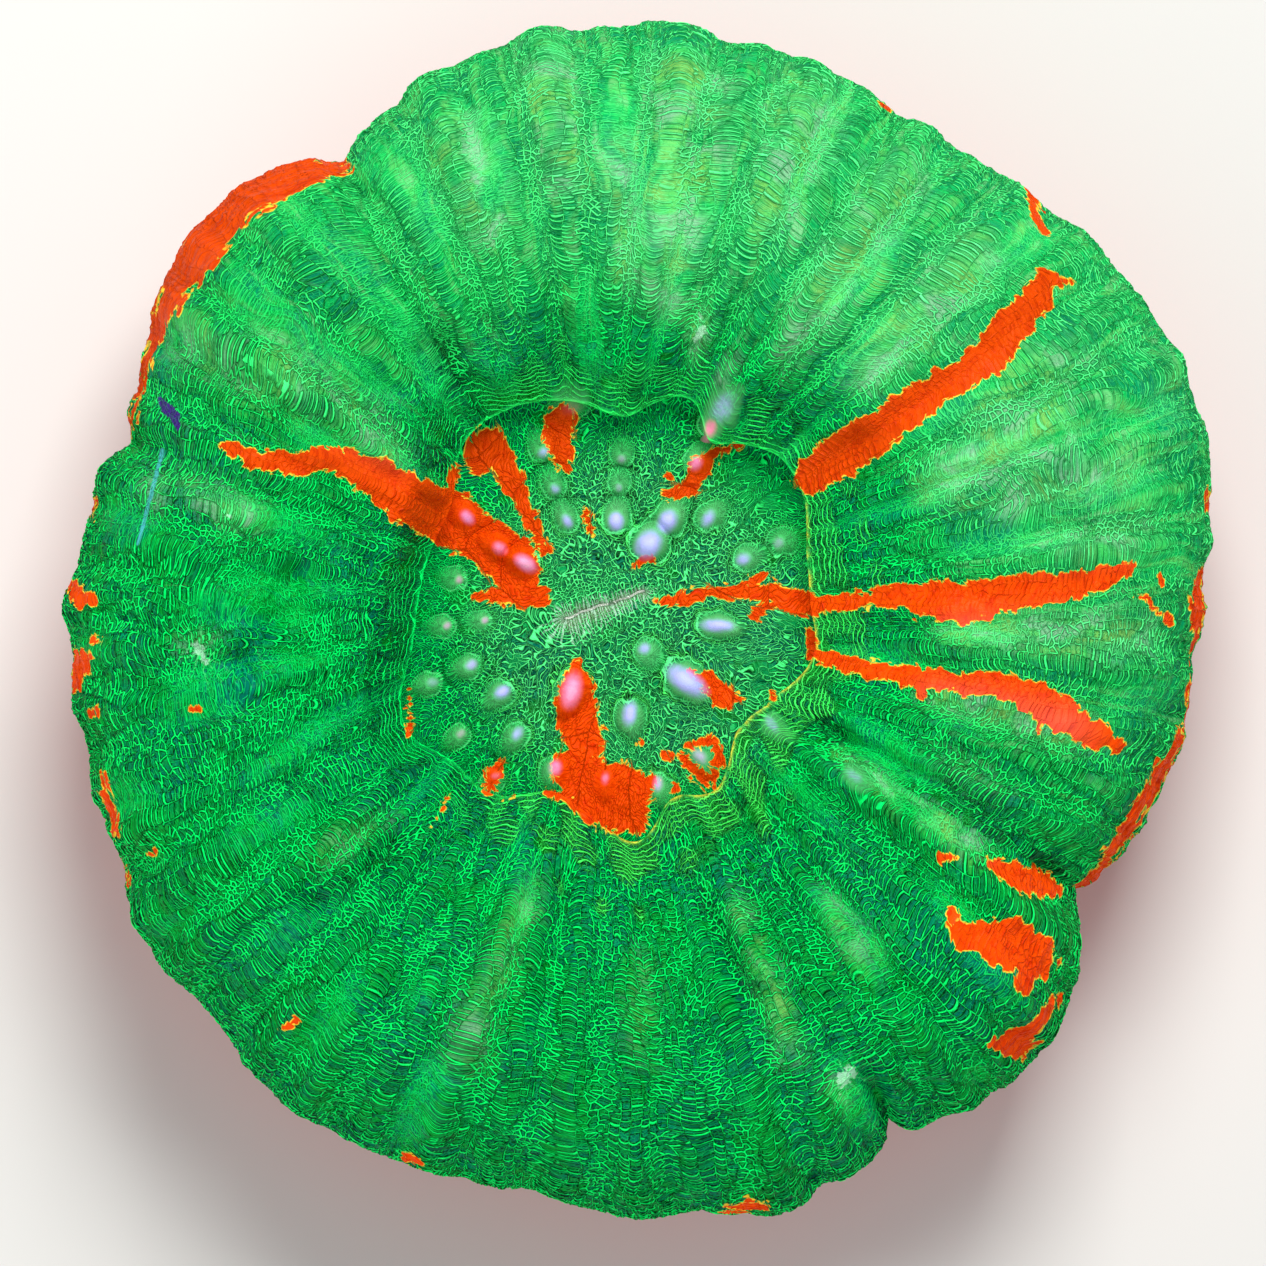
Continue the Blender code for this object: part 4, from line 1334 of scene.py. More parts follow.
@dataclass(frozen=True)
class WrinkleRelief:
    """Geometry Nodes that raise the net's wrinkles on a marked mesh.

    Args:
        net: The net of wrinkles.
        height: How far a wrinkle stands up, in millimetres.
        reach: How far its slope runs out, in millimetres.
        chance_rise: How far whole cells stand up or lie down, as a share of the height.
    """

    net: WrinkleNet
    height: float
    reach: float
    chance_rise: float = 0.35

    def tree(self) -> bpy.types.NodeTree:
        """Builds the group of nodes.

        Returns:
            The group, with named inputs for the wrinkles' size and the finish.
        """
        tree = bpy.data.node_groups.new("raised_wrinkles", "GeometryNodeTree")
        inputs = {"Mesh": "Geometry", "Height": "Float", "Reach": "Float", "Finish": "Material"}
        sockets = [(name, "INPUT", kind) for name, kind in inputs.items()]
        for name, way, kind in [*sockets, ("Mesh", "OUTPUT", "Geometry")]:
            tree.interface.new_socket(name=name, in_out=way, socket_type=f"NodeSocket{kind}")
        sheet = NodeSheet(tree)
        source = sheet.node("NodeGroupInput")
        given = {name: Wire(sheet, source.outputs[name]) for name in inputs}
        distance, chance = self.net.lines(NetPlace.read(sheet))
        slope = sheet.maths("MINIMUM", distance / given["Reach"], 1.0)
        rise = (1.0 - slope * slope) + (chance - 0.5) * self.chance_rise
        lift = rise * given["Height"] * sheet.read("raise")
        normal = sheet.wire("Normal", "GeometryNodeInputNormal")
        scaled = {0: normal, "Scale": lift}
        offset = sheet.wire("Vector", "ShaderNodeVectorMath", {"operation": "SCALE"}, scaled)
        moves = {"Geometry": given["Mesh"], "Offset": offset}
        moved = sheet.wire(0, "GeometryNodeSetPosition", None, moves)
        real = sheet.wire(0, "GeometryNodeRealizeInstances", None, {0: moved})
        dress = {"Geometry": real, "Material": given["Finish"]}
        dressed = sheet.wire(0, "GeometryNodeSetMaterial", None, dress)
        tree.links.new(dressed.socket, sheet.node("NodeGroupOutput").inputs[0])
        return tree

    def apply(self, piece: bpy.types.Object, finish: bpy.types.Material) -> None:
        """Raises the wrinkles and leaves a plain mesh.

        Args:
            piece: The marked piece.
            finish: The material it gets.
        """
        tree = self.tree()
        modifier = piece.modifiers.new("wrinkles", "NODES")
        modifier.node_group = tree
        wanted = {"Height": self.height * MM, "Reach": self.reach, "Finish": finish}
        for item in tree.interface.items_tree:
            if item.in_out == "INPUT" and item.name in wanted:
                modifier[item.identifier] = wanted[item.name]
        piece.update_tag()
        bpy.context.view_layer.update()
        graph = bpy.context.evaluated_depsgraph_get()
        plain = bpy.data.meshes.new_from_object(piece.evaluated_get(graph), depsgraph=graph)
        piece.modifiers.remove(modifier)
        piece.data = plain
        plain.shade_smooth()


def settle(piece: bpy.types.Object) -> None:
    """Rides a finished piece on the coral's body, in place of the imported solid.

    Args:
        piece: The finished piece.
    """
    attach(piece, "root")
    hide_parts(NODE)
    LOG.info("%s: %d triangles", piece.name, sum(len(p.vertices) - 2 for p in piece.data.polygons))


def hang(name: str, data: bpy.types.ID) -> bpy.types.Object:
    """Puts a mesh, a lamp or a lens in the scene.

    Args:
        name: The object's name.
        data: What the object holds.

    Returns:
        The object.
    """
    made = bpy.data.objects.new(name, data)
    bpy.context.scene.collection.objects.link(made)
    return made


def new_piece(name: str, points: Values, faces: list[tuple[int, ...]]) -> bpy.types.Object:
    """Makes a mesh object.

    Args:
        name: The piece's name.
        points: Its vertices, in metres.
        faces: Its faces.

    Returns:
        The object, in the scene's collection.
    """
    mesh = bpy.data.meshes.new(name)
    mesh.from_pydata(points.tolist(), [], faces)
    mesh.update()
    return hang(name, mesh)


def corner_numbers(mesh: bpy.types.Mesh) -> Values:
    """The vertex number at each corner of the faces.

    Args:
        mesh: The mesh to read.

    Returns:
        One number for each corner.
    """
    corners = np.empty(len(mesh.loops), np.int32)
    mesh.loops.foreach_get("vertex_index", corners)
    return corners


def lay_map(mesh: bpy.types.Mesh, flat: Values) -> None:
    """Stores the flat map's place of each corner of the faces."""
    layer = mesh.uv_layers.new(name="OFBake")
    layer.data.foreach_set("uv", flat.astype(np.float32).ravel())


def grid_faces(numbers: Values) -> list[tuple[int, ...]]:
    """Quads, facing up and out, of a grid whose rows run outwards and columns anticlockwise."""
    quads = [numbers[:-1, :-1], numbers[1:, :-1], numbers[1:, 1:], numbers[:-1, 1:]]
    return [tuple(q) for q in np.stack(quads, axis=-1).reshape(-1, 4).tolist()]


def round_faces(rows: int, columns: int) -> list[tuple[int, ...]]:
    """Faces of a round grid, closed by a fan at its first row and one behind its last.

    Args:
        rows: Number of rows of vertices.
        columns: Vertices in each row.

    Returns:
        The grid's quads, then the fans to the two vertices after the grid.
    """
    sheet = np.arange(rows * columns).reshape(rows, columns)
    faces = grid_faces(np.hstack([sheet, sheet[:, :1]]))
    last = (rows - 1) * columns
    faces += [(sheet.size, i, (i + 1) % columns) for i in range(columns)]
    return faces + [(last + (i + 1) % columns, last + i, sheet.size + 1) for i in range(columns)]


@dataclass(frozen=True)
class Spacing:
    """How far apart the vertices and the wrinkles lie at places along the flesh's profile."""

    form: CoralForm
    mesh: Points = (
        (-0.12, 0.18), (0.0, 0.13), (1.0, 0.13), (1.25, 0.2), (1.6, 0.4), (2.0, 0.5),
        (PROFILE_END, 0.8),
    )
    wrinkles: Points = (
        (-0.12, 0.45), (0.0, 0.62), (0.12, 0.5), (0.3, 0.37), (0.8, 0.4), (1.0, 0.5),
        (PROFILE_END, 0.8),
    )
    samples: int = 2400
    directions: int = 18

    def profile(self) -> tuple[Values, Values]:
        """The flesh's mean profile.

        Returns:
            Places along it, and their distances along the surface from the lip.
        """
        along = np.linspace(-self.form.pocket, PROFILE_END, self.samples)
        total = np.zeros(len(along) - 1)
        for turn in range(self.directions):
            angle = np.full(len(along), turn * 360 / self.directions)
            steps = [np.diff(v) for v in self.form.flesh(angle, along)]
            total += np.sqrt(steps[0] ** 2 + steps[1] ** 2 + steps[2] ** 2) / self.directions
        length = np.concatenate([[0], np.cumsum(total)])
        return along, length - np.interp(0.0, along, length)

    def count(self, steps: Points) -> tuple[Values, Values]:
        """Counts steps of a changing size along the profile.

        Args:
            steps: The (place, step length) points.

        Returns:
            Places along the profile, and the number of steps up to each.
        """
        along, length = self.profile()
        step = np.interp(along, [s[0] for s in steps], [s[1] for s in steps])
        gained = np.diff(length) / ((step[1:] + step[:-1]) / 2)
        return along, np.concatenate([[0], np.cumsum(gained)])

    def rows(self) -> Values:
        """Places of the mesh's rows along the profile."""
        along, count = self.count(self.mesh)
        return np.interp(np.linspace(0, count[-1], int(count[-1]) + 1), count, along)


@dataclass(frozen=True)
class FleshLobe:
    """One lobe of the flesh ring, from under the lip, over the rim, to over the foot.

    Its ends sink under the lobes beside it, and each end is closed there by a fan.
    """

    name: str
    start: float
    end: float
    form: CoralForm
    patches: Patches
    crests: PaleCrests
    spacing: Spacing
    columns: int
    seam: float = 1.0
    sink: float = 0.5
    weave_columns: float = 270.0
    merging: float = 2.8
    bow: float = 0.13
    bend: float = 0.8
    furrow: float = 0.12
    sweep: float = 2.2
    top_end: float = 1.2
    eddies: tuple[tuple[Pair, float], ...] = (
        ((-30.0, 0.0), 8.5), ((-25.0, 21.0), 5.0), ((30.0, 10.0), 4.0), ((17.0, -12.0), 4.0),
    )
    calm_spots: tuple[Spot, ...] = (
        ((-29.0, 1.0), 10.0, 0.5), ((33.0, 9.0), 9.0, 0.35), ((22.0, 20.0), 8.0, 0.2),
        ((17.0, -12.0), 5.0, 0.5), ((-19.0, 21.5), 9.0, 0.55), ((0.0, 27.0), 7.0, 0.3),
        ((24.0, -24.0), 7.0, 0.2), ((0.0, -30.0), 14.0, -0.35),
    )
    creases: tuple[Groove, ...] = (
        (((-25.6, 3.7), (-25.2, 1.7), (-27.2, -0.2), (-29.5, -2.9), (-28.5, -4.2)), 0.6, 0.5),
        (((-32.5, -2.2), (-36.0, -0.8), (-39.7, 0.8)), 0.5, 0.6),
        (((-14.5, 27.0), (-12.4, 22.0), (-11.6, 17.8)), 0.5, 0.6),
        (((-22.4, 8.0), (-20.4, 4.0), (-19.6, -1.0), (-19.4, -6.0)), 0.7, 0.7),
        (((18.3, -36.6), (17.6, -34.8)), 0.9, 0.8),
        (((-31.4, -7.6), (-31.0, -9.6)), 0.4, 0.35),
    )

    def grid(self) -> tuple[Values, Values]:
        """Angles and places along the profile for each vertex, one row for each ring."""
        turns = np.linspace(self.start - self.seam, self.end + self.seam, self.columns)
        return np.meshgrid(turns, self.spacing.rows())

    def weave(self, angle: Values, along: Values) -> tuple[Values, Values]:
        """The place in the woven net.

        Args:
            angle, along: Places round the coral and along the flesh's profile.

        Returns:
            Cells counted round the coral, and cells counted along the profile.
        """
        places, count = self.spacing.count(self.spacing.wrinkles)
        rung = np.interp(along, places, count)
        place, height = self.form.ridge_place(angle)
        merged = self.merging * (0.45 + 0.55 * height) * np.sin(math.tau * place) / math.tau
        column = angle * self.weave_columns / 360 - merged
        column = column + 0.3 * Ripple(3.1, 2, 4).at(column, 0 * column)
        column = column + 0.5 * Ripple(7.0, 3).at(column, rung * 0.35)
        width = math.radians(self.form.ridge_pitch) * (16 + 28 * np.clip(along, 0, 1))
        pitch = np.interp(along, *zip(*self.spacing.wrinkles, strict=True))
        bow = self.bow * (0.4 + 0.7 * height) * width / pitch
        rung = rung + self.lean(along) * bow * np.cos(math.tau * place)
        wave = 0.35 + 0.65 * smooth_step(0.05, 0.3, along)
        rung = rung + 0.9 * wave * Ripple(12.0, 5).at(column, rung * 0.4)
        x, y, _ = self.form.flesh(angle, along)
        for line, depth, width in self.form.folds:
            near = bell(line_distance(x, y, line), 1.5 * width)
            rung = rung - self.sweep * depth * near * (1 - smooth_step(0.15, 0.6, along))
        for middle, spread in self.eddies:
            near = hill(x, y, middle, spread)
            rung = rung + near * 1.9 * Ripple(7.5, 18).at(x, y)
            column = column + near * 1.3 * Ripple(6.5, 19).at(x, y)
        return column, rung + 0.3 * wave * Ripple(4.0, 8).at(column, rung * 0.5)

    def lean(self, along: Values) -> Values:
        """Which way the scales bow: inwards above 0, outwards below 0 towards the rim."""
        return np.clip((0.6 - along) * 4, -1.0, 0.45)

    def shape(self, angle: Values, along: Values) -> tuple[Values, Values, Values]:
        """The lobe's surface, with its furrows and soft unevenness.

        Args:
            angle, along: Places round the coral and along the flesh's profile.

        Returns:
            Places along X, Y and Z, in millimetres.
        """
        x, y, z = self.form.flesh(angle, along)
        out, up = self.form.ring_normal(angle, along)
        column, rung = self.weave(angle, along)
        grown = 0.5 + 0.5 * np.clip(along, 0, 1)
        furrows = self.furrow * (np.abs(np.cos(math.pi * column)) ** 0.8 - 0.6) * grown
        soft = 0.22 * Ripple(6.5, 11).at(x, y) + 0.1 * Ripple(2.6, 12).at(x, y)
        pleats = 0.07 * np.sin(math.tau * rung / 4.3) * smooth_step(0.3, 0.8, along)
        lift = (furrows + soft + pleats) * window(along, (-0.05, 0.1), (1.7, 2.0))
        for line, depth, width in self.creases:
            lift -= depth * bell(line_distance(x, y, line), width) * (along < self.top_end)
        margin = np.minimum(angle - self.start, self.end - angle)
        lift -= self.sink * (1 - smooth_step(-self.seam, self.seam, margin))
        c, s = compass(angle)
        return x + lift * out * c, y + lift * out * s, z + lift * up

    def build(self, relief: WrinkleRelief, finish: bpy.types.Material) -> bpy.types.Object:
        """Makes the finished lobe.

        Args:
            relief: The nodes that raise its wrinkles.
            finish: Its material.

        Returns:
            The lobe's object.
        """
        angle, along = self.grid()
        x, y, z = self.shape(angle, along)
        ends = [self.section_middle(column) for column in (0, -1)]
        points = np.vstack([self.form.place(x, y, z), *ends])
        rows, columns = angle.shape
        sheet = np.arange(rows * columns).reshape(rows, columns)
        faces = grid_faces(np.vstack([sheet, sheet[:1]]))
        first, last = (np.append(sheet[:, end], sheet[0, end]).tolist() for end in (0, -1))
        faces += [(b, a, sheet.size) for a, b in zip(first, first[1:], strict=False)]
        faces += [(a, b, sheet.size + 1) for a, b in zip(last, last[1:], strict=False)]
        piece = new_piece(self.name, points, faces)
        mark(piece.data, self.marks(angle, along, x, y, z), hidden=0)
        self.lay_flat(piece.data, rows, columns)
        relief.apply(piece, finish)
        settle(piece)
        return piece

    def section_middle(self, column: int) -> Values:
        """A point inside the flesh, in the middle of one end's section.

        Args:
            column: 0 for the first end, -1 for the last.

        Returns:
            The placed point.
        """
        angle, _ = self.grid()
        turn = math.radians(angle[0, column])
        reach = float(loop_curve(self.form.outline, angle[0, column])) * 0.7
        return self.form.place(reach * math.cos(turn), reach * math.sin(turn), self.form.rim_z)

    def marks(
        self, angle: Values, along: Values, x: Values, y: Values, z: Values
    ) -> dict[str, Values]:
        """All that the lobe's wrinkles and finish read.

        Args:
            angle, along: Places round the coral and along the flesh's profile.
            x, y: Places in plan.
            z: Heights.

        Returns:
            Each mark's values by its name.
        """
        column, rung = self.weave(angle, along)
        step = np.sqrt(sum(np.gradient(v, axis=0) ** 2 for v in (x, y, z)))
        pitch = step / np.clip(np.abs(np.gradient(rung, axis=0)), 1e-4, None)
        across = np.radians(np.gradient(angle, axis=1)) * np.hypot(x, y)
        width = across / np.gradient(column, axis=1)
        apart = 1 / np.hypot(np.gradient(rung, axis=0) / step, np.gradient(rung, axis=1) / across)
        below = np.interp(along, *self.spacing.profile()) - np.interp(1.0, *self.spacing.profile())
        # Painted shade: how deep a place lies in a fold, a valley or the pocket under the lip,
        # which the finish darkens.
        hollow_shade = np.clip(-self.form.relief(x, y, angle, along) / 1.6, 0, 1.5)
        hollow_shade = np.maximum(hollow_shade, 1 - smooth_step(-0.08, 0.02, along))
        place, _ = self.form.ridge_place(angle)
        teeth = tooth_marks(self.form, x, y)
        on_top = window(along, (-0.04, 0.0), (0.4, 0.7))
        pale = self.crests.strength(x, y) * (1 - smooth_step(1.0, 1.1, along))
        calm = 0.6 * Ripple(5.5, 14).at(angle * 0.6, np.hypot(x, y) * 0.4) + 0.35 * pale - 0.2
        for middle, spread, amount in self.calm_spots:
            calm = calm + amount * hill(x, y, middle, spread)
        calm = smooth_step(0.0, 0.6, calm) * (1 - smooth_step(0.8, 0.95, along))
        flow = smooth_step(0.3, 0.7, 1.1 - along * 5.5 + 0.4 * Ripple(3.2, 15).at(x, y))
        scaly = np.cos(math.tau * place) + 1.2 * Ripple(4.5, 16).at(x, y) + 0.05
        scaly = scaly + 2 * smooth_step(0.8, 0.95, along)
        scaly = smooth_step(-0.15, 0.15, scaly) * (1 - 0.6 * flow)
        wall = smooth_step(1.5, 5.0, loop_curve(self.form.wall_height, angle))
        patch = self.patches.distance(x, y, angle, below)
        raised = window(along, (-0.02, 0.06), (1.8, 2.1))
        raised = raised * (1 - 0.6 * teeth["halo"]) * (1 - 0.5 * calm)
        raised = raised * (1 + smooth_step(0.75, 1.0, along))
        raised = raised * (0.6 + 0.4 * smooth_step(-0.4, 0.4, patch))
        cell = [np.clip(width, 0.2, 3), np.clip(pitch, 0.1, 1.2), np.clip(apart, 0.1, 1.2)]
        litter = {
            name: np.clip(-stroke_distance(x, y, stroke), -1, 1) for name, stroke in LITTER.items()
        }
        return litter | {
            "weave": np.stack([column, rung, -self.bend * self.lean(along)], axis=-1),
            "cell": np.stack(cell, axis=-1),
            "share": np.stack([scaly, flow, calm], axis=-1),
            "patch": patch,
            "pale": pale,
            # Painted shade near the lip, more below taller walls.
            "hollow_shade": np.maximum(hollow_shade, (0.62 + 0.2 * wall) * bell(along, 0.2)),
            "lip": bell(along, 0.008),
            "raise": raised,
            "star": star_place(x, y) * (along < self.top_end)[..., None],
            "tip": teeth["tip"] * on_top,
            "halo": teeth["halo"] * on_top,
            "haze": teeth["haze"] * on_top,
            "blush": teeth["blush"],
            "ring": np.full(x.shape, 5.0),
            "strong": np.zeros(x.shape),
        }

    def lay_flat(self, mesh: bpy.types.Mesh, rows: int, columns: int) -> None:
        """Gives the lobe a flat map: its sheet fills it, and its hidden back a thin strip.

        Args:
            mesh: The lobe's mesh.
            rows: Number of rows.
            columns: Number of columns.
        """
        corners = corner_numbers(mesh)
        row, column = corners // columns, corners % columns
        edge, wide, strip = 0.004, 0.992, 0.006
        across, up = edge + wide * column / (columns - 1), 0.03 + 0.966 * row / (rows - 1)
        flat = np.column_stack([across, up])
        back, fans = 4 * (rows - 1) * (columns - 1), 4 * rows * (columns - 1)
        flat[back:fans, 1] = edge + strip * (row[back:fans] == 0)
        flat[fans:, 0] = edge + wide * np.clip(row[fans:] / rows, 0, 1)
        flat[fans:, 1] = 0.014 + strip * (corners[fans:] >= rows * columns)
        lay_map(mesh, flat)


LITTER: Mapping[str, Stroke] = {
    "hair": ((-35.2, 12.7, 0.14), (-36.0, 9.4, 0.16), (-37.0, 5.7, 0.12)),
    "speck": ((-35.4, 16.4, 0.2), (-34.8, 15.6, 0.45), (-34.3, 15.2, 0.4), (-34.0, 14.2, 0.2)),
}
# Each pale scar's place, size and turn in degrees.
STARS: tuple[tuple[float, float, float, float], ...] = (
    (-32.4, -2.3, 0.62, -50.0), (15.1, -33.6, 0.62, 60.0), (4.4, 21.6, 0.5, 80.0),
    (-30.3, 7.8, 0.25, 0.0),
)


def star_place(x: Values, y: Values) -> Values:
    """Where a place lies about the nearest of the pale scars.

    Args:
        x, y: Places in plan.

    Returns:
        Its place along and across the scar, in scar sizes, and 1 near a scar, else 0.
    """
    best = np.full(np.shape(x), 6.0)
    total = np.zeros((*np.shape(x), 3))
    for cx, cy, size, turn in STARS:
        u, v = turned(x - cx, y - cy, math.radians(turn))
        u, v = u / (1.5 * size), v / size
        reach = np.hypot(u, v)
        near = reach < best
        best = np.where(near, reach, best)
        total = np.where(near[..., None], np.stack([u, v, 1 + 0 * u], axis=-1), total)
    return total


def tooth_marks(form: CoralForm, x: Values, y: Values) -> dict[str, Values]:
    """Where the tooth tips show, and the smooth swellings behind them.

    Args:
        form: The coral's form.
        x, y: Places in plan.

    Returns:
        How strongly a tip, the haze behind it and its swelling show, and how pink the tip is.
        About the nearest swelling: the distance from its foot, the turn, its girth, how near
        the fold to the next swelling is, and how strong the swelling is.
    """
    tip, haze, halo, blush, turn, strong = (np.zeros(np.shape(x)) for _ in range(6))
    ring, rival, girth = (np.full(np.shape(x), v) for v in (5.0, 6.0, 1.0))
    for tooth in form.teeth:
        reach, around, size = tooth.dome(x, y, form.mouth_centre)
        # A tooth that doesn't shine only leaves its smooth swelling.
        if tooth.glow < 0.1:
            halo = np.maximum(halo, 0.65 * (1 - smooth_step(0.3, 0.95, reach)))
            continue
        near = np.clip(1.3 - tooth.reach(x, y, 0.05), 0, 1) * (0.12 + 0.88 * tooth.glow)
        blush = np.where(near > tip, tooth.blush, blush)
        tip = np.maximum(tip, near)
        reach = reach + 0.08 * Ripple(1.3, 35).at(x, y)
        front = 1 - 0.85 * smooth_step(-0.2, 0.9, reach * np.cos(around))
        soft = bell(tooth.reach(x, y, 0.3), 1.5) * (1 - smooth_step(0.7, 1.0, reach))
        haze = np.maximum(haze, soft * (0.15 + 0.65 * tooth.glow))
        smooth = (1 - smooth_step(0.82, 1.02, reach)) * (0.75 + 0.25 * tooth.glow)
        halo = np.maximum(halo, smooth * (0.55 + 0.45 * front))
        foot = (reach - 1) * size
        nearer = foot < ring
        rival = np.minimum(np.where(nearer, ring, foot), rival)
        ring, turn = np.where(nearer, foot, ring), np.where(nearer, around, turn)
        girth = np.where(nearer, size, girth)
        strong = np.where(nearer, (0.25 + 0.75 * tooth.glow) * front, strong)
    fold = bell(rival - ring, 0.35) * (1 - smooth_step(0.5, 1.5, ring))
    return {
        "tip": tip, "haze": haze, "halo": halo, "blush": blush, "ring": ring, "turn": turn,
        "girth": girth, "fold": fold, "strong": strong,
    }


@dataclass(frozen=True)
class OralDisc:
    """The sunken disc inside the lip, with its teeth and the mouth."""

    form: CoralForm
    patches: Patches
    rows: int = 160
    columns: int = 580
    cell: float = 0.31
    slim: float = 1.35
    round_cells: int = 34
    under_lip: float = 0.35
    fold_depth: float = 0.3
    back_depth: float = 5.0

    def build(self, relief: WrinkleRelief, finish: bpy.types.Material) -> bpy.types.Object:
        """Makes the finished disc.

        Args:
            relief: The nodes that raise its wrinkles.
            finish: Its material.

        Returns:
            The disc's object.
        """
        turns = np.arange(self.columns) * 360 / self.columns
        angle, place = np.meshgrid(turns, (np.arange(1, self.rows + 1) / self.rows) ** 0.8)
        reach = place * (loop_curve(self.form.lip, angle) + self.form.overhang + self.under_lip)
        middles, ways = self.form.disc_centre, compass(angle)
        x, y = (np.append(m + reach * way, m) for m, way in zip(middles, ways, strict=True))
        teeth = tooth_marks(self.form, x, y)
        z = self.form.disc_height(x, y) + 0.08 * Ripple(2.2, 21).at(x, y)
        z = z - self.fold_depth * teeth["fold"]
        back = self.form.place(x[-1], y[-1], self.form.disc_z - self.back_depth)
        points = np.vstack([self.form.place(x, y, z), back])
        piece = new_piece("oral_disc", points, round_faces(self.rows, self.columns))
        mark(piece.data, self.marks(x, y, teeth), hidden=-1)
        self.lay_flat(piece.data)
        relief.apply(piece, finish)
        settle(piece)
        return piece

    def marks(self, x: Values, y: Values, teeth: dict[str, Values]) -> dict[str, Values]:
        """All that the disc's wrinkles and finish read.

        Args:
            x, y: Places in plan.
            teeth: Where the teeth and their swellings are.

        Returns:
            Each mark's values by its name.
        """
        size, none = len(x), np.zeros(len(x))
        fibre, foot = self.fibres(x, y)
        ring, girth, strong = teeth["ring"], teeth["girth"], teeth["strong"]
        by_mouth = foot < ring
        round_column = teeth["turn"] * self.round_cells / math.tau
        round_width = np.clip(ring + girth, 0.3, 3) * math.tau / self.round_cells
        column = np.where(by_mouth, fibre[:, 0] / self.cell, round_column)
        width = np.where(by_mouth, self.cell, round_width)
        rung = np.minimum(foot, ring) / self.cell
        column = column + 0.35 * Ripple(1.6, 31).at(x, y)
        rung = rung + 0.5 * Ripple(1.9, 32).at(x, y)
        flow = (1 - smooth_step(0.25, 0.6, ring)) * smooth_step(-0.1, 0.05, ring) * (1 - by_mouth)
        flow = flow * (0.3 + 0.7 * strong)
        # Painted shade: a dark ring round the foot of each strong swelling.
        edge = bell(ring - 0.14, 0.16) * strong
        fold = teeth["fold"] * (1 - by_mouth)
        width, pitch = width * self.slim, np.full(size, self.cell * self.slim)
        shown = 1 - np.clip(teeth["tip"] * 2, 0, 1)
        kept = ("tip", "haze", "halo", "blush", "ring", "strong")
        return {name: teeth[name] for name in kept} | {
            "weave": np.column_stack([column, rung, none]),
            "cell": np.column_stack([width, pitch, pitch]),
            "share": np.column_stack([none, flow, none]),
            "patch": self.patches.distance(x, y, none, np.full(size, -9.0)),
            "raise": (1 - teeth["halo"]) * (1 - 0.8 * fibre[:, 2]) * shown,
            # Painted shade: the sunken disc darker all over, more in the folds between swellings
            # and round their feet, less on the swellings.
            "hollow_shade": 0.5 + 0.7 * fold + 0.3 * edge - 0.35 * teeth["halo"],
            "hair": np.full(size, -1.0),
            "speck": np.full(size, -1.0),
            "fibre": fibre,
        }

    def fibres(self, x: Values, y: Values) -> tuple[Values, Values]:
        """Coordinates of the fibres that run out from the mouth's slit.

        Args:
            x, y: Places in plan.

        Returns:
            For each place its count round the slit, distance from it, and nearness; and the
            distance from the calm flesh round the mouth.
        """
        half = self.form.mouth_half
        u, v = self.form.mouth_axes(x, y)
        v = v + 0.05 * np.sin(1.7 * u) + 0.04 * np.sin(4.1 * u)
        middle = np.clip(u, -0.85 * half, 0.85 * half)
        away = np.hypot(u - middle, v)
        turn = middle + (math.pi / 2 - np.arctan2(np.abs(v), u - middle)) * 0.7
        spread = np.where(v < 0, 2.3, 1.3) * (1 - 0.45 * middle / half)
        near = np.clip(1 - away / spread, 0, 1)
        return np.column_stack([turn + 9 * np.sign(v), away, near]), away - 0.7

    def lay_flat(self, mesh: bpy.types.Mesh) -> None:
        """Gives the disc a flat map seen from above, with its hidden back in a corner.

        Args:
            mesh: The disc's mesh.
        """
        points = np.empty(len(mesh.vertices) * 3, np.float32)
        mesh.vertices.foreach_get("co", points)
        plan = points.reshape(-1, 3)[:, :2]
        low, high = plan.min(axis=0), plan.max(axis=0)
        flat = (0.01 + 0.98 * (plan - low) / (high - low).max())[corner_numbers(mesh)]
        back = flat[-3 * self.columns :]
        back[:] = 0.001 + 0.008 * back
        lay_map(mesh, flat)


@dataclass(frozen=True)
class StonyFoot:
    """The bare end of the skeleton: a short ribbed stub, cut off flat."""

    form: CoralForm
    ribs: int = 108
    rib_height: float = 0.45
    bead_height: float = 0.12
    buried: float = 0.35
    rows: int = 46
    columns: int = 648

    def build(self, finish: bpy.types.Material) -> bpy.types.Object:
        """Makes the finished foot.

        Args:
            finish: Its material.

        Returns:
            The foot's object.
        """
        turns = np.arange(self.columns) * 360 / self.columns
        angle, place = np.meshgrid(turns, np.linspace(-self.buried, 1, self.rows))
        rim, form = loop_curve(self.form.outline, angle), self.form
        share = form.foot_top_ratio + (form.foot_base_ratio - form.foot_top_ratio) * place
        rib = np.abs(np.cos(np.radians(angle) * self.ribs / 2)) ** 0.7
        tall = 0.65 + 0.35 * np.cos(np.radians(angle) * self.ribs / 4) ** 2
        beads = self.bead_height * Ripple(0.9, 41).at(angle * 0.4, place * 7)
        reach = rim * share + self.rib_height * (rib * tall - 0.5) + beads
        x, y = (reach * way for way in compass(angle))
        z = np.maximum(form.foot_top_z * (1 - place), 0)
        ends = [form.place(0.0, 0.0, height) for height in (z[0, 0], 0.0)]
        points = np.vstack([form.place(x, y, z), *ends])
        piece = new_piece("stony_foot", points, round_faces(self.rows, self.columns))
        piece.data.shade_smooth()
        piece.data.set_sharp_from_angle(angle=math.radians(60))
        piece.data.materials.append(finish)
        settle(piece)
        return piece


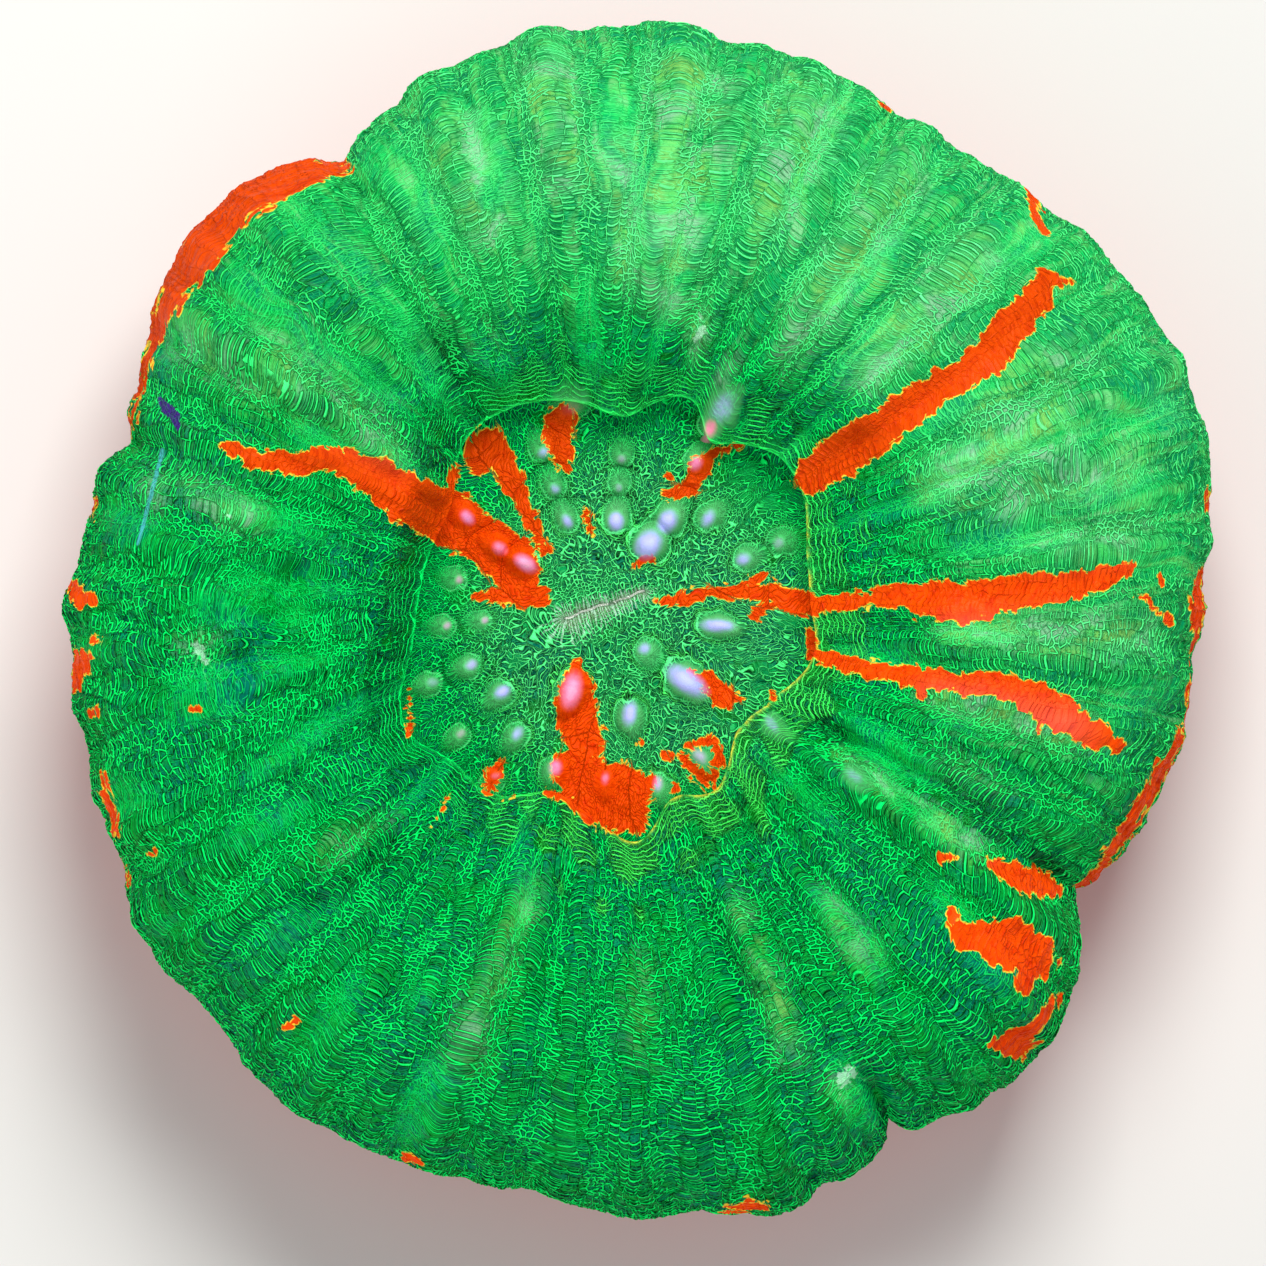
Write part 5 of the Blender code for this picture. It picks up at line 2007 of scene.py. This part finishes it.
@dataclass(frozen=True)
class Lamp:
    """A soft square light aimed at the coral.

    Args:
        name: The light's name.
        place: Where it hangs, in metres.
        size: Width of its face, in metres.
        power: Its power, in watts.
    """

    name: str
    place: tuple[float, float, float]
    size: float
    power: float

    def build(self) -> None:
        """Hangs the lamp."""
        lamp = bpy.data.lights.new(self.name, "AREA")
        lamp.size, lamp.energy = self.size, self.power
        holder = hang(self.name, lamp)
        holder.location = self.place
        x, y, z = self.place
        tilt, turn = math.atan2(math.hypot(x, y), z), math.atan2(-y, -x) - math.pi / 2
        holder.rotation_euler = (tilt, 0.0, turn)


@dataclass(frozen=True)
class Studio:
    """A pale floor, soft lights and a camera straight above the coral."""

    form: CoralForm
    aim: Pair = (-0.55, -0.85)
    frame_width: float = 0.0940
    distance: float = 1.8
    sensor: float = 36.0
    floor_size: float = 2.4
    floor_tone: Colour = colour(214, 212, 206)
    sky_tone: Colour = colour(235, 240, 250)
    sky_power: float = 0.46
    lamps: tuple[Lamp, ...] = (
        Lamp("key_light", (0.06, 0.33, 0.47), 0.26, 3.9),
        Lamp("fill_light", (-0.34, -0.40, 0.26), 0.5, 1.5),
    )

    def build(self) -> None:
        """Makes the floor, the lights, the world and the camera."""
        self.floor()
        for lamp in self.lamps:
            lamp.build()
        scene = bpy.context.scene
        scene.world = bpy.data.worlds.new("studio")
        scene.world.use_nodes = True
        tree = scene.world.node_tree
        sky = {"Color": self.sky_tone, "Strength": self.sky_power}
        NodeSheet(tree).feed(tree.nodes["Background"], sky)
        self.camera()
        scene.view_settings.view_transform = "Standard"
        scene.view_settings.look = "None"

    def floor(self) -> None:
        """Makes the pale floor under the coral."""
        bpy.ops.mesh.primitive_plane_add(size=self.floor_size, location=(0, 0, 0))
        floor = bpy.context.object
        floor.name = "floor"
        material, sheet, shader = new_material("pale_floor")
        sheet.feed(shader, {"Base Color": self.floor_tone, "Roughness": 0.8})
        floor.data.materials.append(material)

    def camera(self) -> None:
        """Hangs the camera over the coral, looking straight down."""
        lens = bpy.data.cameras.new("camera")
        lens.sensor_width = self.sensor
        lens.lens = self.sensor * self.distance / self.frame_width
        holder = hang("camera", lens)
        x, y, z = self.form.place(*self.aim, self.form.rim_z)[0]
        holder.location = (x, y, z + self.distance)
        bpy.context.scene.camera = holder


# Each lobe's name, the angles of its two ends, and its columns of vertices.
LOBES = (
    ("north_lobe", -31.5, 124.5, 262),
    ("west_lobe", 124.5, 227.0, 243),
    ("south_lobe", 227.0, 328.5, 243),
)


def main() -> None:
    """Builds the coral's pieces and the studio in order."""
    logging.basicConfig(level=logging.INFO, format="%(name)s: %(message)s")
    form = CoralForm.fitted(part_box(NODE))
    patches, crests, spacing = Patches(), PaleCrests(), Spacing(form)
    finish = FleshFinish()
    flesh, stone = finish.build(), StoneFinish().build()
    wrinkles = WrinkleRelief(finish.net, height=0.13, reach=0.17)
    fine_wrinkles = WrinkleRelief(finish.net, height=0.08, reach=0.16)
    for name, start, end, columns in LOBES:
        lobe = FleshLobe(name, start, end, form, patches, crests, spacing, columns)
        lobe.build(wrinkles, flesh)
    OralDisc(form, patches).build(fine_wrinkles, flesh)
    StonyFoot(form).build(stone)
    Studio(form).build()


if __name__ == "__main__":
    main()
